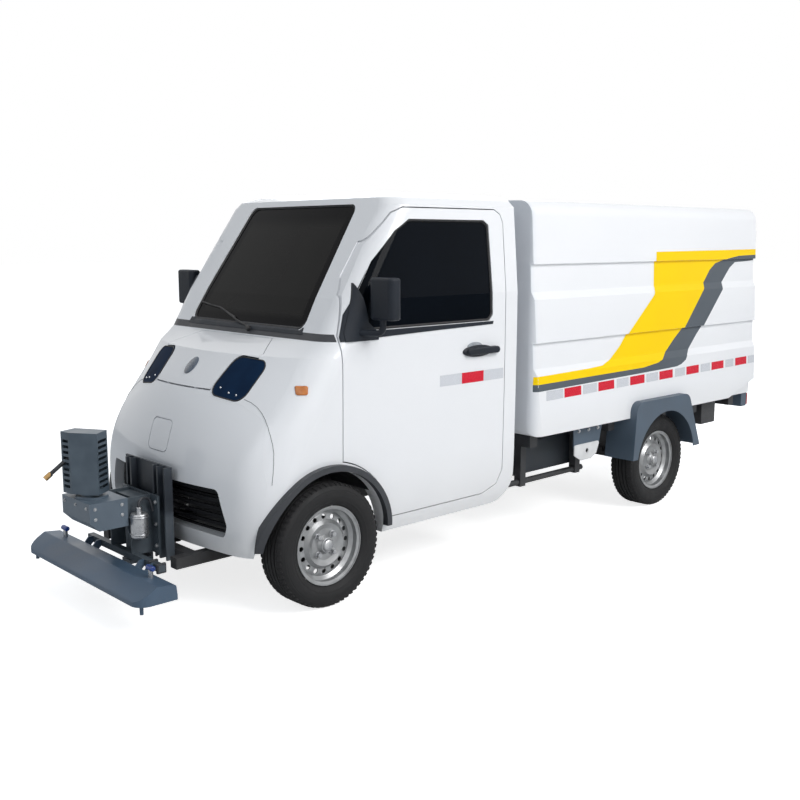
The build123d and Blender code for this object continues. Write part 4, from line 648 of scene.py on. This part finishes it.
# Door corner panel and windscreen foot
# Thin black moulding on the door's front corner, from the cowl strip up along the window's edge, with
# the belt seal that runs back under the glass. A strip like it covers the foot of the windscreen.
def cut_up(cuts):
    """Splits the sheet just made into triangles and along lines at places on its own X or Y axis."""
    bpy.ops.object.mode_set(mode="EDIT")
    bpy.ops.mesh.select_all(action="SELECT")
    bpy.ops.mesh.quads_convert_to_tris(quad_method="BEAUTY", ngon_method="BEAUTY")
    for axis, place in cuts:
        way = (1, 0, 0) if axis == "X" else (0, 1, 0)
        bpy.ops.mesh.select_all(action="SELECT")
        bpy.ops.mesh.bisect(plane_co=[place * part for part in way], plane_no=way)
    bpy.ops.object.mode_set(mode="OBJECT")


def thicken(piece, thickness, offset):
    """Gives the laid sheet just made a wall."""
    wall = piece.modifiers.new("wall", "SOLIDIFY")
    wall.thickness = thickness
    wall.offset = offset
    bpy.ops.object.modifier_apply(modifier="wall")


corner_outline = [(0.0995, 1.168), (0.300, 1.178), (0.700, 1.188), (1.064, 1.195), (1.068, 1.2095),
                  (0.700, 1.2095), (0.300, 1.2095), (0.1265, 1.2105), (0.1925, 1.3535), (0.2735, 1.4775),
                  (0.1370, 1.284), (0.0995, 1.190)]
corner = sheet_form("door_corner_l", [(aft + back, height) for aft, height in corner_outline])
cut_up([("X", 0.105 + 0.01 * index + back) for index in range(18)] +
       [("Y", 1.18 + 0.02 * index) for index in range(16)])
lay_on(corner, ["door_l"], "left", 0.0016)
thicken(corner, 0.003, 0)
both_sides(corner, "door_corner", mirror_black, on_door=True)
foot_places = [-0.474 + 0.948 * index / 24 for index in range(25)]
foot_outline = [(place, 1.190) for place in foot_places]
foot_outline += [(place * 0.985, 1.219) for place in foot_places[::-1]]
foot = sheet_form("windscreen_foot", foot_outline)
cut_up([("Y", 1.204)])
lay_on(foot, ["cab_shell", "cab_trim", "windscreen"], "front", 0.0015)
thicken(foot, 0.002, 0)
put_down(foot, mirror_black, "chassis")

# Mirror glass
# A silvered plate with rounded corners set in each mirror's head, facing back to the driver. Its edge
# is stepped down to the head.
mirror_outline = [(0.742, 1.277), (0.858, 1.277), (0.858, 1.431), (0.742, 1.431)]
mirror_glass = sheet_form("mirror_glass_l", mirror_outline, 0.012)
mirror_aft = 0.279
for vertex in mirror_glass.data.vertices:
    vertex.co = (vertex.co.x, mirror_aft + back, vertex.co.y)
raised(mirror_glass, (0, 1, 0), 0.004, 0.004)
both_sides(mirror_glass, "mirror_glass", chrome, on_door=True)


# Fascia seam
# The open joint on each side between the lower front panel and the cab's corner, from the headlamp
# down to the arch. It shows as a thin grey line of shadow.
def tube(name, points, thick, smooth=False):
    """A round bar or hose along points."""
    line = bpy.data.curves.new(name, "CURVE")
    line.dimensions = "3D"
    line.bevel_depth = thick
    line.bevel_resolution = 4
    line.use_fill_caps = True
    run = line.splines.new("NURBS" if smooth else "POLY")
    run.points.add(len(points) - 1)
    for point, value in zip(run.points, points):
        point.co = (*value, 1)
    if smooth:
        run.order_u = 3
        run.use_endpoint_u = True
    piece = bpy.data.objects.new(name, line)
    scene.collection.objects.link(piece)
    pick(piece)
    bpy.ops.object.convert(target="MESH")
    bpy.ops.object.shade_smooth_by_angle(angle=math.radians(50))
    return bpy.context.object


def panel_seam(name, outline, labels, view):
    """The dark line of a joint between two panels, from one end of an outline to the other."""
    steps = []
    pieces_each = 4
    for (across, up), (next_across, next_up) in zip(outline, outline[1:]):
        for index in range(pieces_each):
            share = index / pieces_each
            steps.append((across + (next_across - across) * share, up + (next_up - up) * share))
    line = lay_on(sheet_form(name, steps + [outline[-1]]), labels, view, 0.0003)
    points = [vertex.co.copy() for vertex in line.data.vertices]
    bpy.data.objects.remove(line)
    return tube(name, points, 0.0011)


seam_grey = finish("seam_shadow", (0.16, 0.165, 0.175), (0.11, 0.115, 0.12), 60, (0.6, 0.8), 900, 0.1)
seam_path = [(0.440, 0.925), (0.480, 0.915), (0.517, 0.899), (0.552, 0.877), (0.583, 0.852), (0.608, 0.825),
             (0.630, 0.793), (0.648, 0.758), (0.660, 0.722), (0.667, 0.680), (0.671, 0.640), (0.673, 0.590)]
fascia_seam = panel_seam("fascia_seam_l", seam_path, ["fascia", "cab_shell"], "front")
both_sides(fascia_seam, "fascia_seam", seam_grey)

# Wiper
# One pressed steel arm on a spindle in the cowl, with a long rubber blade that lies low on the
# windscreen.
arm_path = [(0.075, 0.034, 1.199), (0.045, 0.045, 1.208), (-0.055, 0.061, 1.2255), (-0.163, 0.081, 1.256),
            (-0.250, 0.095, 1.276)]
arm = tube("arm", [(across, aft + back, up) for across, aft, up in arm_path], 0.0050)
blade_path = [(-0.440, 0.116, 1.2925), (-0.360, 0.1086, 1.283), (-0.260, 0.103, 1.274),
              (-0.090, 0.0768, 1.235)]
blade = tube("blade", [(across, aft + back, up) for across, aft, up in blade_path], 0.0045)
bpy.ops.mesh.primitive_cylinder_add(vertices=24, radius=0.013, depth=0.018,
                                    location=(0.075, 0.0375 + back, 1.1946),
                                    rotation=(math.radians(59), 0, 0))
pivot = bpy.context.object
ease_edges(0.004, 3)
wiper = welded([arm, blade, pivot], "wiper")
put_down(wiper, seal_rubber, "chassis")


# Stripes and reflective tape
# Cut vinyl on the load body's pressed sides: a broad yellow stripe with a grey one under it, and
# squares of red and white reflective tape along the bottom. A strip of tape is on each cab door.
def body_side(place, height):
    """The load body's outer face at a place behind the front axle and a height."""
    widest, sill, lean = 0.755, 0.583, 0.046
    face = widest - lean * (height - sill)
    recess, ramp = 0.016, 0.04
    for low, high in ((0.9, 1.075), (1.3, 1.483)):
        if low < height < high:
            face -= recess * min((height - low) / ramp, 1)
    corner, front_wall = 0.07, 1.356
    depth = place - front_wall
    if depth < corner:
        face = min(face, widest - corner + math.sqrt(corner ** 2 - (corner - depth) ** 2))
    return face


def vinyl(name, outlines, lift, material):
    """Cut vinyl that follows the load body's side, on both sides of the truck."""
    cuts = [("Y", height) for height in (0.9, 0.94, 1.0745, 1.0755, 1.3, 1.34, 1.4825, 1.4835)]
    cuts += [("X", place) for place in (1.3595, 1.361, 1.363, 1.366, 1.370, 1.375, 1.381, 1.388, 1.397,
                                        1.408, 1.426)]
    sheets = []
    for outline in outlines:
        sheet = sheet_form(name, outline)
        cut_up(cuts)
        for vertex in sheet.data.vertices:
            place, height = vertex.co.x, vertex.co.y
            vertex.co = (body_side(place, height) + lift, place + back, height)
        sheets.append(sheet)
    sheet = welded(sheets, name + "_l") if len(sheets) > 1 else sheets[0]
    sheet.name = name + "_l"
    bpy.ops.object.mode_set(mode="EDIT")
    bpy.ops.mesh.select_all(action="SELECT")
    bpy.ops.mesh.normals_make_consistent(inside=False)
    bpy.ops.object.mode_set(mode="OBJECT")
    if sum(face.normal.x * face.area for face in sheet.data.polygons) < 0:
        bpy.ops.object.mode_set(mode="EDIT")
        bpy.ops.mesh.flip_normals()
        bpy.ops.object.mode_set(mode="OBJECT")
    both_sides(sheet, name, material)


yellow_vinyl = finish("yellow_vinyl", (0.98, 0.66, 0.003), (0.95, 0.63, 0.003), 3, (0.32, 0.38), 300, 0.06,
                      specular=0.12)
grey_vinyl = finish("grey_vinyl", (0.105, 0.122, 0.142), (0.094, 0.110, 0.128), 3, (0.32, 0.4), 300, 0.06,
                    specular=0.12)
under_edge = [(3.664, 1.509), (3.444, 1.504), (3.307, 1.487), (3.174, 1.459), (3.109, 1.42), (3.035, 1.344),
              (3.025, 1.311), (2.798, 1.078), (2.707, 1.018), (2.55, 0.899), (2.502, 0.884), (2.351, 0.868),
              (1.3655, 0.859)]
yellow_outline = [(2.486, 1.537), (3.664, 1.545)] + under_edge + [
    (1.3655, 0.876), (1.3665, 0.901), (1.829, 0.908), (1.954, 0.914), (2.039, 0.94), (2.135, 1.009),
    (2.207, 1.082), (2.464, 1.287), (2.479, 1.328)]
grey_outline = under_edge[::-1] + [
    (3.664, 1.474), (3.61, 1.469), (3.422, 1.463), (3.354, 1.427), (3.254, 1.338), (3.243, 1.292),
    (3.006, 1.065), (2.954, 1.024), (2.83, 0.91), (2.809, 0.878), (2.759, 0.855), (2.708, 0.845),
    (2.541, 0.841), (1.3655, 0.822)]
vinyl("yellow_stripe", [yellow_outline], 0.0013, yellow_vinyl)
vinyl("grey_stripe", [grey_outline], 0.0010, grey_vinyl)
red_tape = finish("red_reflective_tape", (0.72, 0.022, 0.045), (0.58, 0.012, 0.030), 260, (0.2, 0.3),
                  900, 0.35, specular=0.15)
white_tape = finish("white_reflective_tape", (0.66, 0.68, 0.72), (0.56, 0.58, 0.63), 260, (0.2, 0.3),
                    900, 0.35, clear=0.3)
red_spans = [(1.602, 1.750), (1.907, 2.057), (2.214, 2.360), (2.517, 2.662), (2.816, 2.960), (3.113, 3.262),
             (3.411, 3.558)]
white_spans = [(1.449, 1.592), (1.766, 1.894), (2.081, 2.198), (2.379, 2.502), (2.688, 2.800), (2.983, 3.096),
               (3.285, 3.388), (3.577, 3.664)]


def tape_square(span):
    """The outline of one square of tape on the load body, in a row that rises to the rear."""
    bottom, top, rise = 0.770, 0.820, 0.0105
    first, last = span
    first_rise, last_rise = rise * (first - 1.6), rise * (last - 1.6)
    return [(first, bottom + first_rise), (last, bottom + last_rise), (last, top + last_rise),
            (first, top + first_rise)]


vinyl("red_tape", [tape_square(span) for span in red_spans], 0.0008, red_tape)
vinyl("white_tape", [tape_square(span) for span in white_spans], 0.0008, white_tape)
for name, first, last, material, slot in (("door_tape_white", 0.695, 1.150, white_tape, "white_paint"),
                                          ("door_tape_red", 0.846, 1.002, red_tape, "lamp_red")):
    over_white = 0.0004 if slot == "lamp_red" else 0.0
    start, end = first + back, last + back
    bottom, top = 0.915, 0.968
    strip = sheet_form(name, [(start, bottom), (end, bottom), (end, top), (start, top)])
    lay_on(strip, ["door_l"], "left", 0.0008 + over_white)
    right_strip = right_hand(strip, name + "_r")
    for piece, body in ((strip, "cab_door_l"), (right_strip, "cab_door_r")):
        wanted = 1 if body == "cab_door_l" else -1
        put_down(piece, material, body)
        if piece.data.polygons[0].normal.x * wanted < 0:
            piece.data.flip_normals()


# Bolts
# Zinc plated hex bolts with washers hold the mast's plate, the tower's base, the carriage and the
# side hanger. Each row is one bolt turned to its face and copied along it.
def bolt_row(name, places, way, size, body):
    """Hex bolts with washers that stand out of a face."""
    bpy.ops.object.select_all(action="DESELECT")
    bpy.ops.mesh.primitive_cylinder_add(vertices=6, radius=size, depth=size * 0.9,
                                        location=(0, 0, size * 0.6))
    head = bpy.context.object
    ease_edges(size * 0.12, 1)
    bpy.ops.mesh.primitive_cylinder_add(vertices=20, radius=size * 1.4, depth=size * 0.3,
                                        location=(0, 0, size * 0.1))
    washer = bpy.context.object
    bolt = welded([head, washer], name)
    bpy.ops.object.transform_apply(location=True, rotation=True, scale=True)
    row = []
    for place in places:
        copy = twin(bolt, name)
        copy.rotation_euler = Vector(way).to_track_quat("Z", "Y").to_euler()
        copy.location = (place[0], place[1] + back, place[2])
        row.append(copy)
    bpy.data.objects.remove(bolt)
    put_down(welded(row, name), zinc, body)


ahead = (0, -1, 0)
outwards = (1, 0, 0)
mast_places = [(across, -0.478, up) for across in (-0.178, 0.165) for up in (0.50, 0.585)]
bolt_row("mast_bolts", mast_places, ahead, 0.008, "chassis")
base_side_places = [(0.127, aft, up) for aft in (-0.80, -0.675) for up in (0.43, 0.475)]
bolt_row("base_bolts_side", base_side_places, outwards, 0.0055, "carriage")
base_front_places = [(across, -0.826, 0.478) for across in (-0.105, 0.0, 0.10)]
bolt_row("base_bolts_front", base_front_places, ahead, 0.0055, "carriage")
carriage_places = [(across, -0.522, up) for across in (-0.14, 0.14) for up in (0.26, 0.36, 0.46)]
bolt_row("carriage_bolts", carriage_places, ahead, 0.0075, "carriage")
hanger_places = [(0.700, aft, 0.555) for aft in (1.80, 1.888, 1.975)]
bolt_row("hanger_bolts", hanger_places, outwards, 0.008, "chassis")

# Hood fittings
# A blue push fitting lies across each of the two risers that feed the spray pipe on the hood.
# It is a moulded plastic sleeve with rounded ends.
fitting_blue = finish("fitting_blue", (0.012, 0.06, 0.32), (0.008, 0.035, 0.2), 40, (0.25, 0.4), 500, 0.1,
                      clear=0.3)
sleeves = []
for across in (-0.4, 0.4):
    bpy.ops.object.select_all(action="DESELECT")
    bpy.ops.mesh.primitive_cylinder_add(vertices=28, radius=0.0115, depth=0.050, rotation=sideways,
                                        location=(across, -0.7 + back, 0.262))
    ease_edges(0.004, 3)
    bpy.ops.object.shade_smooth_by_angle(angle=math.radians(40))
    sleeves.append(bpy.context.object)
put_down(welded(sleeves, "hood_fittings"), fitting_blue, "carriage")

# Canister bands and pipe
# Two round steel bands hold the upright canister, a short port stands on its top, and a stiff bent
# pipe in black runs from the port down into the carriage.
canister_place = (0.145, -0.606 + back)
bands = []
for height in (0.336, 0.412):
    bpy.ops.mesh.primitive_torus_add(major_radius=0.0385, minor_radius=0.0035, major_segments=40,
                                     minor_segments=8, location=(*canister_place, height))
    bpy.ops.object.shade_smooth()
    bands.append(bpy.context.object)
bpy.ops.mesh.primitive_cylinder_add(vertices=24, radius=0.014, depth=0.030, location=(*canister_place, 0.440))
port = bpy.context.object
ease_edges(0.003, 2)
put_down(welded([port, *bands], "canister_bands"), zinc, "carriage")
pipe_path = [(0.145, -0.606, 0.452), (0.145, -0.606, 0.474), (0.140, -0.590, 0.488), (0.128, -0.560, 0.486),
             (0.122, -0.538, 0.470), (0.120, -0.530, 0.440), (0.120, -0.524, 0.418)]
pipe_points = [(across, aft + back, up) for across, aft, up in pipe_path]
elbow = tube("canister_pipe", pipe_points, 0.0065, smooth=True)
put_down(elbow, black_trim, "carriage")

# Hood corner lips
# The spray hood's sheet is folded down round both front corners. Each edge piece is a quarter round
# strip of the same sheet, closing the corner between the front edge and the side.
lip_radius = 0.060
lip_across, lip_aft, lip_foot = 0.475, -0.775, 0.150
ends = []
for side in (1, -1):
    bpy.ops.object.select_all(action="DESELECT")
    bpy.ops.mesh.primitive_grid_add(x_subdivisions=12, y_subdivisions=1, size=1)
    lip = bpy.context.object
    for vertex in lip.data.vertices:
        angle = math.pi / 2 * (vertex.co.x + 0.5)
        place = lip_aft - lip_radius * math.cos(angle)
        hood_top = 0.1685 + 0.055 * (place + 0.835) / 0.09
        height = lip_foot if vertex.co.y < 0 else hood_top
        vertex.co = (side * (lip_across + lip_radius * math.sin(angle)), place + back, height)
    bpy.ops.object.mode_set(mode="EDIT")
    bpy.ops.mesh.select_all(action="SELECT")
    bpy.ops.mesh.normals_make_consistent(inside=False)
    bpy.ops.object.mode_set(mode="OBJECT")
    middle = lip.data.polygons[6]
    if middle.normal.x * side < 0:
        lip.data.flip_normals()
    thicken(lip, 0.005, -1)
    bpy.ops.object.shade_smooth_by_angle(angle=math.radians(40))
    ends.append(lip)
put_down(welded(ends, "hood_corner_lips"), hammer_blue, "carriage")

# Cross tube clamps
# Two square black clamps round the carriage's cross tube, left of the tower. Each is a steel block
# with rounded edges.
clamps = []
for across in (0.255, 0.322):
    bpy.ops.object.select_all(action="DESELECT")
    bpy.ops.mesh.primitive_cube_add(size=1, location=(across, -0.607 + back, 0.220))
    clamp = bpy.context.object
    clamp.scale = (0.014, 0.046, 0.046)
    bpy.ops.object.transform_apply(location=True, rotation=True, scale=True)
    ease_edges(0.005, 3)
    clamps.append(clamp)
put_down(welded(clamps, "cross_tube_clamps"), black_trim, "carriage")


# Seats
# Two seats, each a sewn fabric cushion and backrest over foam, with piping along their edges.
def stuffed(name, low, high, lean):
    """A padded block swollen by cloth pressure, leaning back with its height."""
    bpy.ops.object.select_all(action="DESELECT")
    middle = [(a + b) / 2 for a, b in zip(low, high)]
    bpy.ops.mesh.primitive_cube_add(size=1, location=middle)
    pad = bpy.context.object
    pad.name = name
    pad.scale = [b - a for a, b in zip(low, high)]
    bpy.ops.object.transform_apply(location=True, rotation=True, scale=True)
    ease_edges(0.02, 3)
    for vertex in pad.data.vertices:
        vertex.co.y += lean * (vertex.co.z - low[2])
    remesh = pad.modifiers.new("remesh", "REMESH")
    remesh.mode = "VOXEL"
    remesh.voxel_size = 0.006
    bpy.ops.object.modifier_apply(modifier="remesh")
    most_swell = 0.016
    before = [vertex.co.copy() for vertex in pad.data.vertices]
    cloth = pad.modifiers.new("cloth", "CLOTH")
    cloth.settings.use_pressure = True
    cloth.settings.uniform_pressure_force = 4
    cloth.settings.effector_weights.gravity = 0
    for number in range(1, 21):
        scene.frame_set(number)
    bpy.ops.object.modifier_apply(modifier="cloth")
    scene.frame_set(1)
    for vertex, start in zip(pad.data.vertices, before):
        step = vertex.co - start
        if step.length > most_swell:
            vertex.co = start + step.normalized() * most_swell
    softer = pad.modifiers.new("softer", "SMOOTH")
    softer.iterations = 6
    bpy.ops.object.modifier_apply(modifier="softer")
    rounder = pad.modifiers.new("rounder", "SUBSURF")
    rounder.levels = 1
    rounder.render_levels = 1
    bpy.ops.object.modifier_apply(modifier="rounder")
    bpy.ops.object.shade_smooth()
    return pad


seat_cloth = finish("seat_cloth", (0.05, 0.052, 0.058), (0.03, 0.031, 0.036), 60, (0.75, 0.9), 1800, 0.7)
seat_cloth.node_tree.nodes["Principled BSDF"].inputs["Sheen Weight"].default_value = 0.3
cushion = stuffed("cushion_l", (0.135, 0.665 + back, 0.656), (0.525, 0.985 + back, 0.748), 0.0)
backrest = stuffed("backrest_l", (0.135, 1.000 + back, 0.790), (0.525, 1.045 + back, 1.305), 0.12)
for pad, label in ((cushion, "cushion"), (backrest, "backrest")):
    other = both_sides(pad, label, seat_cloth)
    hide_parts("seat_l")
    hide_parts("seat_r")
piping_path = [(0.150, 0.675 + back, 0.752), (0.510, 0.675 + back, 0.752), (0.510, 0.975 + back, 0.752),
               (0.150, 0.975 + back, 0.752), (0.150, 0.675 + back, 0.752)]
piping = tube("cushion_piping_l", piping_path, 0.003)
both_sides(piping, "cushion_piping", seal_rubber)

scene.view_layers[0].update()
